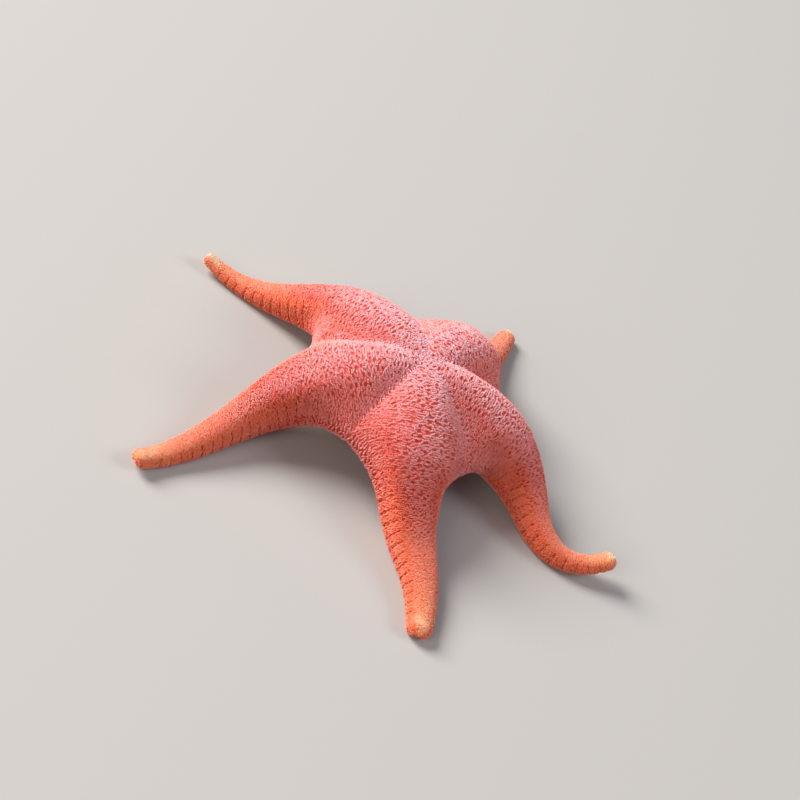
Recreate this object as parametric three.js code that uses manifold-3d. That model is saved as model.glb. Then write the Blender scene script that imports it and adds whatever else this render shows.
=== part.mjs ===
// A five-armed blood star (Henricia), life size, arched over a flat floor on its
// arm ends. Millimetres, +Z up. The disc's centre is the middle of the construction,
// and the whole group is moved at the end so that the footprint's middle is the origin.
//
// Each arm and its fifth of the disc is one grid. A grid point is named by x, the
// distance along the arm's midline from the disc's centre, and t, which runs from -1 on
// the arm's right-hand margin to +1 on its left-hand one. Inside the disc the margins
// are the creases between neighbouring arms, and beyond it they are the arm's edges.
import * as THREE from 'three';
import { mergeVertices } from 'three/addons/utils/BufferGeometryUtils.js';
import Module from 'manifold-3d';

const DEG = Math.PI / 180;
const FIFTH = 72 * DEG;
const HALF_FIFTH = FIFTH / 2;

// ---- Driving dimensions ------------------------------------------------------------

// The body as a whole.
const MIDLINE_HEIGHT = 17;      // height of the middle layer at the disc's centre
const BACK_RISE = 8.8;          // height of the back over the middle layer
const TIP_RISE = 1.5;           // the same at an arm's end whose half width is PLAIN_TIP
const PLAIN_TIP = 1.9;
const CENTRE_DIP = 2.2;         // the back sinks this much where the five arms meet
const CENTRE_DIP_REACH = 7;     // radius over which it sinks
const TAPER_START = 2.0;        // exponents of the back's fall along an arm
const TAPER_END = 2.0;
const BELLY_SHARE = 0.9;        // depth under the middle layer, as a share of the rise
const BELLY_EXTRA = 0.2;
const BELLY_MAX = 8.5;
const SPAN = 62;                // typical arm length, which shapes the disc
const LANDING = 0.72;           // the disc's middle layer would reach the floor here
const FLOOR_BITE = 0.3;         // how far a lying arm is flattened against the floor
const CREASE_DEPTH = 0.42;      // how deep a crease cuts into the back, as a share of it
const CREASE_GROWTH = 0.75;     // it is full depth at this share of the way to the axil
const CREASE_ROUNDING = 0.8;    // 0 is a sharp crease, 1 a fully rounded one
const ROUNDING_POWER = 7;       // and how close to the crease the rounding stays
const ROUNDING_UNTIL = 0.75;    // the rounding fades from here over this way, as shares
const ROUNDING_FADE = 0.6;      // of the distance to the axil
const BACK_CLOSING = 5;         // how late the back and the underside come down to the
const BELLY_CLOSING = 6;        // axil's edge (exponents)
const BACK_ROUNDNESS = 2.3;     // exponent of the back's cross-section
const BELLY_ROUNDNESS = 3;      // exponent of the underside's cross-section
const EDGE_BLEND = 7;           // width over which crease and arm edge melt together
const EDGE_SHARPNESS = 5;
const STEEPEST = 0.95;          // limit of the midline's slope
const DISC_HOLD = 0.25;         // an arm's own pose sets in here, as a share of the axil's
const POSE_BLEND = 0.9;         // distance, and is complete this much further out

// The underside.
const GROOVE_HALF_WIDTH = 1.3;  // ambulacral groove, half width at the disc
const GROOVE_TIP_SHARE = 0.4;   // and at most this share of the arm's half width
const GROOVE_DEPTH = 1.3;
const GROOVE_START = 6;         // ways over which it deepens at the mouth and ends at the tip
const GROOVE_END = 5;
const GROOVE_SHALLOWING = 0.55; // share of its depth lost along the arm
const PIT_DEPTH = 2.6;          // sunken field round the mouth
const PIT_REACH = 3.4;

// One row per arm: bearing and bends of the midline in degrees (anticlockwise), length,
// where the arm starts and ends its way down to the floor as shares of its length, how
// far its end lifts and from where, and how its half width runs from tip to base.
const ARMS = {
  rear: {
    right: 'right_rear', left: 'rear_rear_left',
    bearing: 68.5, bend: 4, tipBend: 13.3, length: 53.4, fallFrom: 0.12, touch: 0.73,
    lift: 0.2, liftFrom: 0.75, tipWidth: 2.0, taperWidth: 3.5, flare: 3.0,
  },
  rear_left: {
    right: 'rear_rear_left', left: 'rear_left_front_left',
    bearing: 147.5, bend: 29.5, tipBend: -5, length: 62.1, fallFrom: 0, touch: 0.80,
    lift: 2.2, liftFrom: 0.82, tipWidth: 1.6, taperWidth: 4.3, flare: 3.2,
  },
  front_left: {
    right: 'rear_left_front_left', left: 'front_left_front',
    bearing: 214, bend: 30.8, tipBend: -13, length: 67.3, fallFrom: 0, touch: 0.64,
    lift: 1.8, liftFrom: 0.85, tipWidth: 2.1, taperWidth: 3.2, flare: 4.0,
  },
  front: {
    right: 'front_left_front', left: 'front_right',
    bearing: 292, bend: 18, tipBend: -26, length: 60.4, fallFrom: 0, touch: 0.68,
    lift: 0.2, liftFrom: 0.85, tipWidth: 2.6, taperWidth: 3.9, flare: 2.8,
  },
  right: {
    right: 'front_right', left: 'right_rear',
    bearing: 361.5, bend: -50, tipBend: 84.5, length: 64.1, fallFrom: 0, touch: 0.69,
    lift: 5.1, liftFrom: 0.75, tipWidth: 2.1, taperWidth: 1.1, flare: 2.9,
  },
};

// One row per axil, the notch between two arms: its distance from the centre, and the
// width that its rounded corner adds to each arm.
const AXILS = {
  rear_rear_left: { radius: 22.7, fillet: 3.0 },
  rear_left_front_left: { radius: 23.6, fillet: 7.3 },
  front_left_front: { radius: 21.3, fillet: 7.6 },
  front_right: { radius: 22.0, fillet: 5.6 },
  right_rear: { radius: 21.9, fillet: 3.0 },
};
const FILLET_MIN_SLOPE = 0.2;
const FILLET_MIN_LENGTH = 0.3;

// Where a midline turns, as shares of the arm's length.
const BEND_FROM = 0.25;
const BEND_OVER = 0.45;
const TIP_BEND_FROM = 0.6;
const TIP_BEND_OVER = 0.4;

// How the body is parted.
const GAP = 0.3;                // thin cut between neighbouring pieces
const DISC_MARGIN = 0.8;        // the disc's corners stand this far beyond the axils
const ARM_CUTS = [0.53, 0.77];  // each arm is three lengths, cut at these shares
const MOUTH_RADIUS = 3.0;
const MOUTH_DEPTH = 1.6;        // thickness of the mouth piece
const MADREPORITE_RADIUS = 1.1;
const MADREPORITE_DOME = 0.45;
const MADREPORITE_SEAT = 0.7;   // depth of its seat in the back
const MADREPORITE_CLEARANCE = 4; // the seat's cutter stands this far out of the back
const MADREPORITE_PLACE = 10;   // distance from the centre, on the rear left crease
const MADREPORITE_ARM = 'rear';

// Facets.
const DISC_ROWS = 9;
const ARM_ROWS = 18;
const TIP_ROWS = 3;
const BACK_COLUMNS = 12;
const BELLY_COLUMNS = 4;        // on each side of the groove
const ROW_SPREAD = 0.35;        // 1 spreads an arm's rows evenly, less draws them inward
const COLUMN_SPREAD = 0.4;      // 1 spreads the columns evenly, less draws them to the margins
const ROUND_SIDES = 20;
const DOME_STEPS = 5;
const MIDLINE_STEPS = 500;
const MERGE_DISTANCE = 1e-4;
const FAR = 60;                 // taller and wider than anything that is cut

// ---- Small helpers -----------------------------------------------------------------

const clamp = (value, low, high) => Math.min(Math.max(value, low), high);
const mix = (a, b, share) => a + (b - a) * share;
const smooth = (t) => {
  const s = clamp(t, 0, 1);
  return s * s * (3 - 2 * s);
};

// ---- The disc's bearings -----------------------------------------------------------

// A regular star is warped so that each arm leaves at its own bearing: the bearing is
// the regular one plus a trigonometric wave through the five arms' differences.
const armNames = Object.keys(ARMS);
const differences = armNames.map((name, i) => ARMS[name].bearing - ARMS.rear.bearing - 72 * i);
const meanDifference = differences.reduce((sum, d) => sum + d, 0) / 5;
const waves = [1, 2].map((m) => ({
  m,
  cosine: (2 / 5) * differences.reduce((sum, d, i) => sum + d * Math.cos(m * FIFTH * i), 0),
  sine: (2 / 5) * differences.reduce((sum, d, i) => sum + d * Math.sin(m * FIFTH * i), 0),
}));

function bearingOf(angle) {
  let shift = meanDifference;
  for (const { m, cosine, sine } of waves) {
    shift += cosine * Math.cos(m * angle) + sine * Math.sin(m * angle);
  }
  return ARMS.rear.bearing * DEG + angle + shift * DEG;
}

// ---- Heights -----------------------------------------------------------------------

// Height of the back over the middle layer. Without an arm it is the disc's own.
function backRise(x, arm) {
  const length = arm ? arm.length : SPAN;
  const tip = TIP_RISE * (arm ? arm.tipWidth / PLAIN_TIP : 1);
  const q = clamp(x / length, 0, 1);
  const taper = (1 - q ** TAPER_START) ** TAPER_END;
  return tip + (BACK_RISE - TIP_RISE) * taper - CENTRE_DIP * Math.exp(-((x / CENTRE_DIP_REACH) ** 2));
}

const bellyDepth = (rise) => Math.min(BELLY_SHARE * rise + BELLY_EXTRA, BELLY_MAX);

// Height of the middle layer over the floor.
function midHeight(x, arm) {
  const length = arm ? arm.length : SPAN;
  const from = arm ? arm.fallFrom : 0;
  const to = arm ? arm.touch : LANDING;
  const belly = bellyDepth(backRise(x, arm));
  const up = 1 - smooth((x / length - from) / (to - from));
  const height = belly - FLOOR_BITE * (1 - up) + (MIDLINE_HEIGHT - belly) * up;
  if (!arm) return height;
  const lift = clamp((x / length - arm.liftFrom) / (1 - arm.liftFrom), 0, 1);
  return height + arm.lift * lift ** 2;
}

// ---- Midlines ----------------------------------------------------------------------

// The midline is walked in equal steps of its own length: its heading turns by the two
// bends, its height is given, and what the height leaves is its way over the floor.
function walkMidline(arm) {
  const step = arm.length / (MIDLINE_STEPS - 1);
  const points = [];
  let px = 0;
  let py = 0;
  for (let i = 0; i < MIDLINE_STEPS; i += 1) {
    const x = i * step;
    const q = x / arm.length;
    const heading = DEG * (arm.bearing + arm.bend * smooth((q - BEND_FROM) / BEND_OVER)
      + arm.tipBend * smooth((q - TIP_BEND_FROM) / TIP_BEND_OVER));
    const before = Math.max(x - step, 0);
    const after = Math.min(x + step, arm.length);
    const slope = (midHeight(after, arm) - midHeight(before, arm)) / (after - before);
    const rise = clamp(slope, -STEEPEST, STEEPEST);
    const run = Math.sqrt(1 - rise * rise);
    points.push({ px, py, pz: midHeight(x, arm), heading, rise, run });
    px += run * Math.cos(heading) * step;
    py += run * Math.sin(heading) * step;
  }
  return { step, points };
}

const midlines = Object.fromEntries(armNames.map((name) => [name, walkMidline(ARMS[name])]));

// Point, forward, leftward and upward directions of an arm's midline at x.
function frameAt(name, x) {
  const { step, points } = midlines[name];
  const place = clamp(x / step, 0, points.length - 1.000001);
  const i = Math.floor(place);
  const at = (key) => mix(points[i][key], points[i + 1][key], place - i);
  const heading = at('heading');
  const [rise, run] = [at('rise'), at('run')];
  const [c, s] = [Math.cos(heading), Math.sin(heading)];
  return {
    point: new THREE.Vector3(at('px'), at('py'), at('pz')),
    forward: new THREE.Vector3(run * c, run * s, rise).normalize(),
    left: new THREE.Vector3(-s, c, 0),
    up: new THREE.Vector3(-rise * c, -rise * s, run),
  };
}

// ---- Widths ------------------------------------------------------------------------

const axilX = (axil) => axil.radius * Math.cos(HALF_FIFTH);

// Half width of an arm on one side, and a smoother one that the inner columns follow.
function halfWidths(arm, axil, x) {
  const { tipWidth, taperWidth, flare, length } = arm;
  const start = axilX(axil);
  const crease = x * Math.tan(HALF_FIFTH);
  const rest = axil.radius * Math.sin(HALF_FIFTH) - tipWidth - taperWidth;
  const q = clamp((x - start) / (length - start), 0, 1);
  const flared = rest - axil.fillet;
  const turn = 1 / Math.tan(HALF_FIFTH) - (taperWidth + flared * flare) / (length - start);
  const reach = Math.max(axil.fillet / Math.max(turn, FILLET_MIN_SLOPE), FILLET_MIN_LENGTH);
  const edge = tipWidth + taperWidth * (1 - q) + flared * (1 - q) ** flare
    + axil.fillet * Math.exp(-Math.max(x - start, 0) / reach);
  const open = (x - start) / (length - start);
  const plain = tipWidth + taperWidth * (1 - open) + rest * Math.max(1 - open, 0) ** flare;
  const blend = EDGE_BLEND * clamp(x / start, 0, 1);
  const inner = (crease + plain - Math.hypot(crease - plain, blend)) / 2;
  return { edge: x < start ? crease : edge, inner };
}

// ---- The surface -------------------------------------------------------------------

// One point of the back (sheet 1) or the underside (sheet -1).
function surfacePoint(name, x, t, sheet) {
  const arm = ARMS[name];
  const axil = AXILS[t > 0 ? arm.left : arm.right];
  const start = axilX(axil);
  const rounding = clamp((x - (arm.length - arm.tipWidth)) / arm.tipWidth, 0, 1);
  const cap = Math.sqrt(Math.max(1 - rounding ** 2, 0));
  const { edge, inner } = halfWidths(arm, axil, x);
  const out = Math.abs(t);
  const y = cap * (t * inner + Math.sign(t) * out ** EDGE_SHARPNESS * (edge - inner));
  const q = clamp(x / start, 0, 1);
  const radius = Math.hypot(x, y);

  // Share of the arm's own pose against the disc's.
  const hold = start * mix(DISC_HOLD, 1, out ** 2);
  const share = smooth((x - hold) / (POSE_BLEND * start));
  const rise = mix(backRise(radius), backRise(x, arm), share) * cap;

  let height;
  if (sheet > 0) {
    const sunk = 1 - CREASE_DEPTH * smooth(q / CREASE_GROWTH);
    const crease = sunk * Math.sqrt(Math.max(1 - q ** BACK_CLOSING, 0));
    const rounded = CREASE_ROUNDING * (1 - smooth((x / start - ROUNDING_UNTIL) / ROUNDING_FADE));
    const levelled = rounded / ROUNDING_POWER;
    const across = (out - levelled * out ** ROUNDING_POWER) / (1 - levelled);
    const fall = across ** BACK_ROUNDNESS * (1 - crease ** BACK_ROUNDNESS);
    height = rise * Math.max(1 - fall, 0) ** (1 / BACK_ROUNDNESS);
  } else {
    const crease = Math.sqrt(Math.max(1 - q ** BELLY_CLOSING, 0));
    const fall = out ** BELLY_ROUNDNESS * (1 - crease ** BELLY_ROUNDNESS);
    height = -bellyDepth(rise) * cap * Math.max(1 - fall, 0) ** (1 / BELLY_ROUNDNESS);
    const groove = grooveHalfWidth(inner * cap);
    const run = smooth(x / GROOVE_START) * smooth((arm.length - x) / GROOVE_END)
      * (1 - GROOVE_SHALLOWING * (x / arm.length));
    height += GROOVE_DEPTH * run * clamp(1 - Math.abs(y) / Math.max(groove, 1e-6), 0, 1);
    height += PIT_DEPTH * Math.exp(-((radius / PIT_REACH) ** 2));
  }

  const frame = frameAt(name, x);
  const angle = bearingOf(Math.atan2(y, x) + FIFTH * armNames.indexOf(name));
  const onDisc = new THREE.Vector3(
    radius * Math.cos(angle), radius * Math.sin(angle), midHeight(radius) + height);
  const onArm = frame.point.clone().addScaledVector(frame.left, y).addScaledVector(frame.up, height);
  const point = onDisc.lerp(onArm, share);
  point.z = Math.max(point.z, 0);
  return point;
}

function grooveHalfWidth(inner) {
  return Math.min(GROOVE_HALF_WIDTH, GROOVE_TIP_SHARE * inner);
}

// Distances of the grid's rows: close together at the axils and round the tip.
function rowDistance(name, row, t) {
  const arm = ARMS[name];
  const start = mix(axilX(AXILS[arm.right]), axilX(AXILS[arm.left]), (t + 1) / 2);
  const end = arm.length - arm.tipWidth;
  if (row <= DISC_ROWS) return start * Math.sin((Math.PI / 2) * (row / DISC_ROWS));
  if (row <= DISC_ROWS + ARM_ROWS) {
    const v = (row - DISC_ROWS) / ARM_ROWS;
    return mix(start, end, mix(v * v, v, ROW_SPREAD));
  }
  return end + arm.tipWidth * Math.sin((Math.PI / 2) * ((row - DISC_ROWS - ARM_ROWS) / TIP_ROWS));
}

// Columns of the back, denser near the margins.
const backColumns = Array.from({ length: BACK_COLUMNS + 1 }, (_, j) => {
  const even = (2 * j) / BACK_COLUMNS - 1;
  return mix(Math.sin((Math.PI / 2) * even), even, COLUMN_SPREAD);
});

// Columns of the underside: the groove's floor, its two lips and the rest of the width.
function bellyColumns(name, row) {
  const x = rowDistance(name, row, 0);
  const { inner } = halfWidths(ARMS[name], AXILS[ARMS[name].left], x);
  const lip = inner > 0 ? grooveHalfWidth(inner) / inner : GROOVE_TIP_SHARE;
  const half = Array.from({ length: BELLY_COLUMNS }, (_, j) => mix(lip, 1, j / (BELLY_COLUMNS - 1)));
  return [...half.map((v) => -v).reverse(), 0, ...half];
}

// Both sheets of one arm as triangles, appended to a list of corner coordinates.
function addArmSheets(name, corners) {
  const rows = DISC_ROWS + ARM_ROWS + TIP_ROWS;
  for (const sheet of [1, -1]) {
    const grid = [];
    for (let row = 0; row <= rows; row += 1) {
      const columns = sheet > 0 ? backColumns : bellyColumns(name, row);
      grid.push(columns.map((t) => surfacePoint(name, rowDistance(name, row, t), t, sheet)));
    }
    for (let i = 0; i < rows; i += 1) {
      for (let j = 0; j < grid[i].length - 1; j += 1) {
        const [a, b, c, d] = [grid[i][j], grid[i + 1][j], grid[i + 1][j + 1], grid[i][j + 1]];
        const faces = sheet > 0 ? [a, b, c, a, c, d] : [a, c, b, a, d, c];
        for (const corner of faces) corners.push(corner.x, corner.y, corner.z);
      }
    }
  }
}

// ---- Solids ------------------------------------------------------------------------

const wasm = await Module();
wasm.setup();

// A closed geometry as a solid: corners merged and flat triangles dropped.
function toSolid(geometry) {
  const bare = geometry.index ? geometry.toNonIndexed() : geometry.clone();
  bare.deleteAttribute('normal');
  bare.deleteAttribute('uv');
  const merged = mergeVertices(bare, MERGE_DISTANCE);
  const index = merged.index.array;
  const kept = [];
  for (let i = 0; i < index.length; i += 3) {
    const [a, b, c] = [index[i], index[i + 1], index[i + 2]];
    if (a !== b && b !== c && c !== a) kept.push(a, b, c);
  }
  return new wasm.Manifold(new wasm.Mesh({
    numProp: 3,
    vertProperties: Float32Array.from(merged.attributes.position.array),
    triVerts: Uint32Array.from(kept),
  }));
}

function toGeometry(solid) {
  const { vertProperties, triVerts } = solid.getMesh();
  const geometry = new THREE.BufferGeometry();
  geometry.setAttribute('position', new THREE.BufferAttribute(Float32Array.from(vertProperties), 3));
  geometry.setIndex(new THREE.BufferAttribute(Uint32Array.from(triVerts), 1));
  geometry.computeVertexNormals();
  return geometry;
}

function wholeBody() {
  const corners = [];
  for (const name of armNames) addArmSheets(name, corners);
  const geometry = new THREE.BufferGeometry();
  geometry.setAttribute('position', new THREE.BufferAttribute(Float32Array.from(corners), 3));
  return toSolid(geometry);
}

// An upright five-sided prism whose corners stand on the creases beyond the axils.
function discPrism(grow) {
  const corners = armNames.map((name, i) => {
    const angle = bearingOf(FIFTH * i + HALF_FIFTH);
    const reach = AXILS[ARMS[name].left].radius + DISC_MARGIN + grow;
    return new THREE.Vector2(reach * Math.cos(angle), reach * Math.sin(angle));
  });
  const prism = new THREE.ExtrudeGeometry(new THREE.Shape(corners), { depth: FAR, bevelEnabled: false });
  return toSolid(prism);
}

// A round plug from height `bottom` to `top` about the disc's centre.
function centrePlug(radius, bottom, top) {
  const plug = new THREE.CylinderGeometry(radius, radius, top - bottom, ROUND_SIDES);
  plug.rotateX(Math.PI / 2);
  plug.translate(0, 0, (bottom + top) / 2);
  return toSolid(plug);
}

// The sieve plate's place on a crease: its foot on the back and the outward direction.
function madreporitePlace() {
  const x = MADREPORITE_PLACE * Math.cos(HALF_FIFTH);
  const foot = surfacePoint(MADREPORITE_ARM, x, 1, 1);
  const inner = surfacePoint(MADREPORITE_ARM, x - 1, 1, 1);
  const outer = surfacePoint(MADREPORITE_ARM, x + 1, 1, 1);
  const along = outer.sub(inner).normalize();
  const level = new THREE.Vector3(-along.y, along.x, 0).normalize();
  return { foot, outward: along.clone().cross(level).normalize() };
}

function standingOn(geometry, { foot, outward }) {
  const turn = new THREE.Quaternion().setFromUnitVectors(new THREE.Vector3(0, 0, 1), outward);
  return geometry.applyQuaternion(turn).translate(foot.x, foot.y, foot.z);
}

// A low domed button with a flat foot, standing in its seat.
function madreporiteSolid(place) {
  const foot = GAP - MADREPORITE_SEAT;
  const profile = [new THREE.Vector2(0, foot), new THREE.Vector2(MADREPORITE_RADIUS, foot)];
  for (let i = 0; i <= DOME_STEPS; i += 1) {
    const angle = (Math.PI / 2) * (i / DOME_STEPS);
    profile.push(new THREE.Vector2(MADREPORITE_RADIUS * Math.cos(angle), MADREPORITE_DOME * Math.sin(angle)));
  }
  profile[profile.length - 1].x = 0;
  const button = new THREE.LatheGeometry(profile, ROUND_SIDES);
  button.rotateX(Math.PI / 2);
  return toSolid(standingOn(button, place));
}

function madreporiteSeat(place) {
  const height = MADREPORITE_SEAT + MADREPORITE_CLEARANCE;
  const seat = new THREE.CylinderGeometry(MADREPORITE_RADIUS + GAP, MADREPORITE_RADIUS + GAP, height, ROUND_SIDES);
  seat.rotateX(Math.PI / 2);
  seat.translate(0, 0, height / 2 - MADREPORITE_SEAT);
  return toSolid(standingOn(seat, place));
}

// ---- Parting the body --------------------------------------------------------------

// The part of a solid that lies ahead (or, turned round, behind) of a cross cut.
function trimAt(solid, frame, side) {
  const normal = frame.forward.clone().multiplyScalar(side);
  const offset = normal.dot(frame.point) + GAP / 2;
  return solid.trimByPlane(normal.toArray(), offset);
}

// The loose arms in the order of their names, told apart by their bearings.
function armsOutside(body) {
  const pieces = body.subtract(discPrism(GAP)).decompose();
  const arms = {};
  for (const name of armNames) {
    const middle = frameAt(name, ARMS[name].length * 0.6).point;
    const distance = (piece) => {
      const { min, max } = piece.boundingBox();
      return Math.hypot((min[0] + max[0]) / 2 - middle.x, (min[1] + max[1]) / 2 - middle.y);
    };
    arms[name] = pieces.reduce((best, piece) => (distance(piece) < distance(best) ? piece : best));
  }
  return arms;
}

// ---- Materials ---------------------------------------------------------------------

const skin = (color, name) => {
  const material = new THREE.MeshStandardMaterial({ color, roughness: 0.6, metalness: 0 });
  material.name = name;
  return material;
};
const discSkin = skin(0xe98a7c, 'disc_skin');
const armSkins = {
  base: skin(0xe8806c, 'arm_base_skin'),
  middle: skin(0xe8784f, 'arm_middle_skin'),
  tip: skin(0xf0985a, 'arm_tip_skin'),
};
const mouthSkin = skin(0xe9b08a, 'mouth_skin');
const sievePlate = skin(0xf0c0a8, 'sieve_plate');

// ---- The model ---------------------------------------------------------------------

const star = new THREE.Group();

function addPiece(name, solid, material) {
  const mesh = new THREE.Mesh(toGeometry(solid), material);
  mesh.name = name;
  star.add(mesh);
}

const body = wholeBody();
const box = body.boundingBox();

const place = madreporitePlace();
const discBlank = body.intersect(discPrism(0));
const mouthFloor = surfacePoint('rear', 0, 0, -1).z;
const mouthTop = mouthFloor + MOUTH_DEPTH;
const disc = discBlank
  .subtract(centrePlug(MOUTH_RADIUS + GAP, 0, mouthTop + GAP))
  .subtract(madreporiteSeat(place));
addPiece('disc', disc, discSkin);
addPiece('mouth', discBlank.intersect(centrePlug(MOUTH_RADIUS, 0, mouthTop)), mouthSkin);
addPiece('madreporite', madreporiteSolid(place), sievePlate);

const arms = armsOutside(body);
for (const name of armNames) {
  const [first, second] = ARM_CUTS.map((share) => frameAt(name, share * ARMS[name].length));
  addPiece(`arm_${name}_base`, trimAt(arms[name], first, -1), armSkins.base);
  addPiece(`arm_${name}_middle`, trimAt(trimAt(arms[name], first, 1), second, -1), armSkins.middle);
  addPiece(`arm_${name}_tip`, trimAt(arms[name], second, 1), armSkins.tip);
}

star.position.set(-(box.min[0] + box.max[0]) / 2, -(box.min[1] + box.max[1]) / 2, 0);

export default star;
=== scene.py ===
# %% [markdown]
# # A blood star, life size
# This script dresses a measured model of a sea star. The measured solids give its size, its pose and
# the floor it rests on; here they get a living surface. A blood star is a soft, inflated animal whose
# skin is stiffened by tiny lime plates. Each plate carries a tuft of blunt spinelets, so from a hand's
# breadth away the back looks like coarse velvet: pale points over a deep orange-red skin.
#
# Everything is worked out with numpy as whole grids of points, because the animal's form is a smooth
# function of two numbers: how far along an arm a point lies, and how far across it.

# %% Load the measured model
import math

import bpy
import numpy as np
from mathutils import Matrix, Vector


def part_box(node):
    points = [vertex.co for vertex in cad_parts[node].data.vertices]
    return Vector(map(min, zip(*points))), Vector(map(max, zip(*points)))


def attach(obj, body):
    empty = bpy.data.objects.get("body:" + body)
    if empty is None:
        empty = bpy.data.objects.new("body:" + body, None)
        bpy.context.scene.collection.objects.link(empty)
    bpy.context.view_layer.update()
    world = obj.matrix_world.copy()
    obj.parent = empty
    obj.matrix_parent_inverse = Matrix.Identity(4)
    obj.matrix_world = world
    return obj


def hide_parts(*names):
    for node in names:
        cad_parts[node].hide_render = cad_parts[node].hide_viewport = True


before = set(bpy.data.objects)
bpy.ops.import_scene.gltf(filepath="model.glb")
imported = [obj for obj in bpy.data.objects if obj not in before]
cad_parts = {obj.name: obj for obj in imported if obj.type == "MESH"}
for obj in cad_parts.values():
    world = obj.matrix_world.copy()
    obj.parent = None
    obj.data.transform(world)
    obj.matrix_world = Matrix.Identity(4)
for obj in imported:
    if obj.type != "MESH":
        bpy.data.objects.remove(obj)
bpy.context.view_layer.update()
MM = 0.001
print("nodes:", sorted(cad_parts))

# %% [markdown]
# ## Small helpers
# A colour picker gives sRGB hex values, but a shader wants linear light, so one function converts them
# all. A second one adds a shader node with its settings and links in one call and hands back the
# socket that the next node needs, which keeps a material readable as a list of steps.

# %% Colour and nodes
def linear(hex_colour):
    """sRGB hex to linear RGBA: c/12.92 below 0.04045, otherwise ((c + 0.055)/1.055) to the power 2.4."""
    srgb = np.array([int(hex_colour[i:i + 2], 16) for i in (1, 3, 5)]) / 255
    rgb = np.where(srgb <= 0.04045, srgb / 12.92, ((srgb + 0.055) / 1.055) ** 2.4)
    return (*rgb.tolist(), 1.0)


def add(tree, kind, inputs=None, out=0, **settings):
    """Adds one node and returns its output socket out. Inputs are values or other nodes' sockets, by
    name or number, and settings are the node's own properties."""
    node = tree.nodes.new("ShaderNode" + kind)
    for name, value in settings.items():
        setattr(node, name, value)
    for key, value in (inputs or {}).items():
        if isinstance(value, bpy.types.NodeSocket):
            tree.links.new(value, node.inputs[key])
        else:
            node.inputs[key].default_value = value
    return node.outputs[out]


def new_material(name, **sockets):
    """A Principled material with these values on its own sockets; underscores stand for spaces."""
    material = bpy.data.materials.new(name)
    material.use_nodes = True
    shader = material.node_tree.nodes["Principled BSDF"]
    for key, value in sockets.items():
        shader.inputs[key.replace("_", " ")].default_value = value
    return material, material.node_tree, shader


print("warm red in linear light:", [round(v, 3) for v in linear("#DC4A2E")])

# %% [markdown]
# ## From arrays to meshes
# A mesh can be built face by face with bmesh, but this one has over a million triangles. So each piece is
# worked out as arrays of points and corners, and handed to Blender in one go with foreach_set. Numbers
# that the materials need, such as how far along the arm a point lies, are stored on the points.

# %% Soft steps and meshes
def smooth(t):
    """0 below 0, 1 above 1, and the soft step 3t^2 - 2t^3 between."""
    t = np.clip(t, 0, 1)
    return t * t * (3 - 2 * t)


def mix(a, b, share):
    """a where share is 0, b where it is 1, and the straight line between."""
    return a + (b - a) * share


def mesh_object(name, points, faces, material):
    """A mesh object from an (n, 3) array of points in metres and an (m, 3 or 4) array of corners."""
    mesh = bpy.data.meshes.new(name)
    mesh.vertices.add(len(points))
    mesh.vertices.foreach_set("co", np.asarray(points, np.float32).ravel())
    sides = faces.shape[1]
    mesh.loops.add(faces.size)
    mesh.loops.foreach_set("vertex_index", faces.astype(np.int32).ravel())
    mesh.polygons.add(len(faces))
    mesh.polygons.foreach_set("loop_start", np.arange(0, faces.size, sides, dtype=np.int32))
    mesh.polygons.foreach_set("use_smooth", np.full(len(faces), True))
    mesh.update(calc_edges=True)
    mesh.materials.append(material)
    obj = bpy.data.objects.new(name, mesh)
    bpy.context.scene.collection.objects.link(obj)
    return obj


def joined(parts):
    """Points, triangles and lists of stored numbers of several parts, put together as one part."""
    shifts = np.cumsum([0] + [len(part[0]) for part in parts])
    return (np.concatenate([part[0] for part in parts]),
            np.concatenate([part[1] + shift for part, shift in zip(parts, shifts)]),
            [np.concatenate(values) for values in zip(*(part[2] for part in parts))])


def give(obj, **values):
    """Stores one number per vertex under each name, for the material to read."""
    for name, array in values.items():
        attribute = obj.data.attributes.new(name, "FLOAT", "POINT")
        attribute.data.foreach_set("value", np.asarray(array, np.float32).ravel())


def give_uv(obj, name, uv):
    """Stores a UV map from one (u, v) pair per vertex."""
    loops = np.empty(len(obj.data.loops), np.int32)
    obj.data.loops.foreach_get("vertex_index", loops)
    layer = obj.data.uv_layers.new(name=name)
    layer.uv.foreach_set("vector", np.asarray(uv, np.float32)[loops].ravel())


# %% [markdown]
# ## The measures
# These are the animal's own measures in millimetres, the same ones the solids were made from. An arm
# is described by its bearing on the disc, its bends, its length, where it comes down to the floor, and
# how its half width runs from base to tip. An axil is the notch between two arms. They could be read
# off the solids' points, but a living surface needs the formula itself, not its points.

# %% The disc and what all arms share
# heights of the back, of the underside and of the middle layer between them
MIDLINE_HEIGHT = 17.0
BACK_RISE, TIP_RISE, PLAIN_TIP = 8.8, 1.5, 1.9
CENTRE_DIP, CENTRE_DIP_REACH = 2.2, 7.0
TAPER_START, TAPER_END = 2.0, 2.0
BELLY_SHARE, BELLY_EXTRA, BELLY_MAX = 0.9, 0.2, 8.5
SPAN, LANDING, FLOOR_BITE = 62.0, 0.72, 0.3
# the arch across an arm and the creases between two arms
CREASE_DEPTH, CREASE_GROWTH = 0.42, 0.75
CREASE_ROUNDING, ROUNDING_POWER, ROUNDING_UNTIL, ROUNDING_FADE = 0.8, 7, 0.75, 0.6
BACK_ROUNDNESS, BELLY_ROUNDNESS = 2.3, 3.0
BACK_CLOSING, BELLY_CLOSING = 5, 6
# how the disc passes into an arm, and how steeply an arm may fall
DISC_HOLD, POSE_BLEND = 0.25, 0.9
EDGE_BLEND, EDGE_SHARPNESS = 7.0, 5.0
STEEPEST = 0.95
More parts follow.
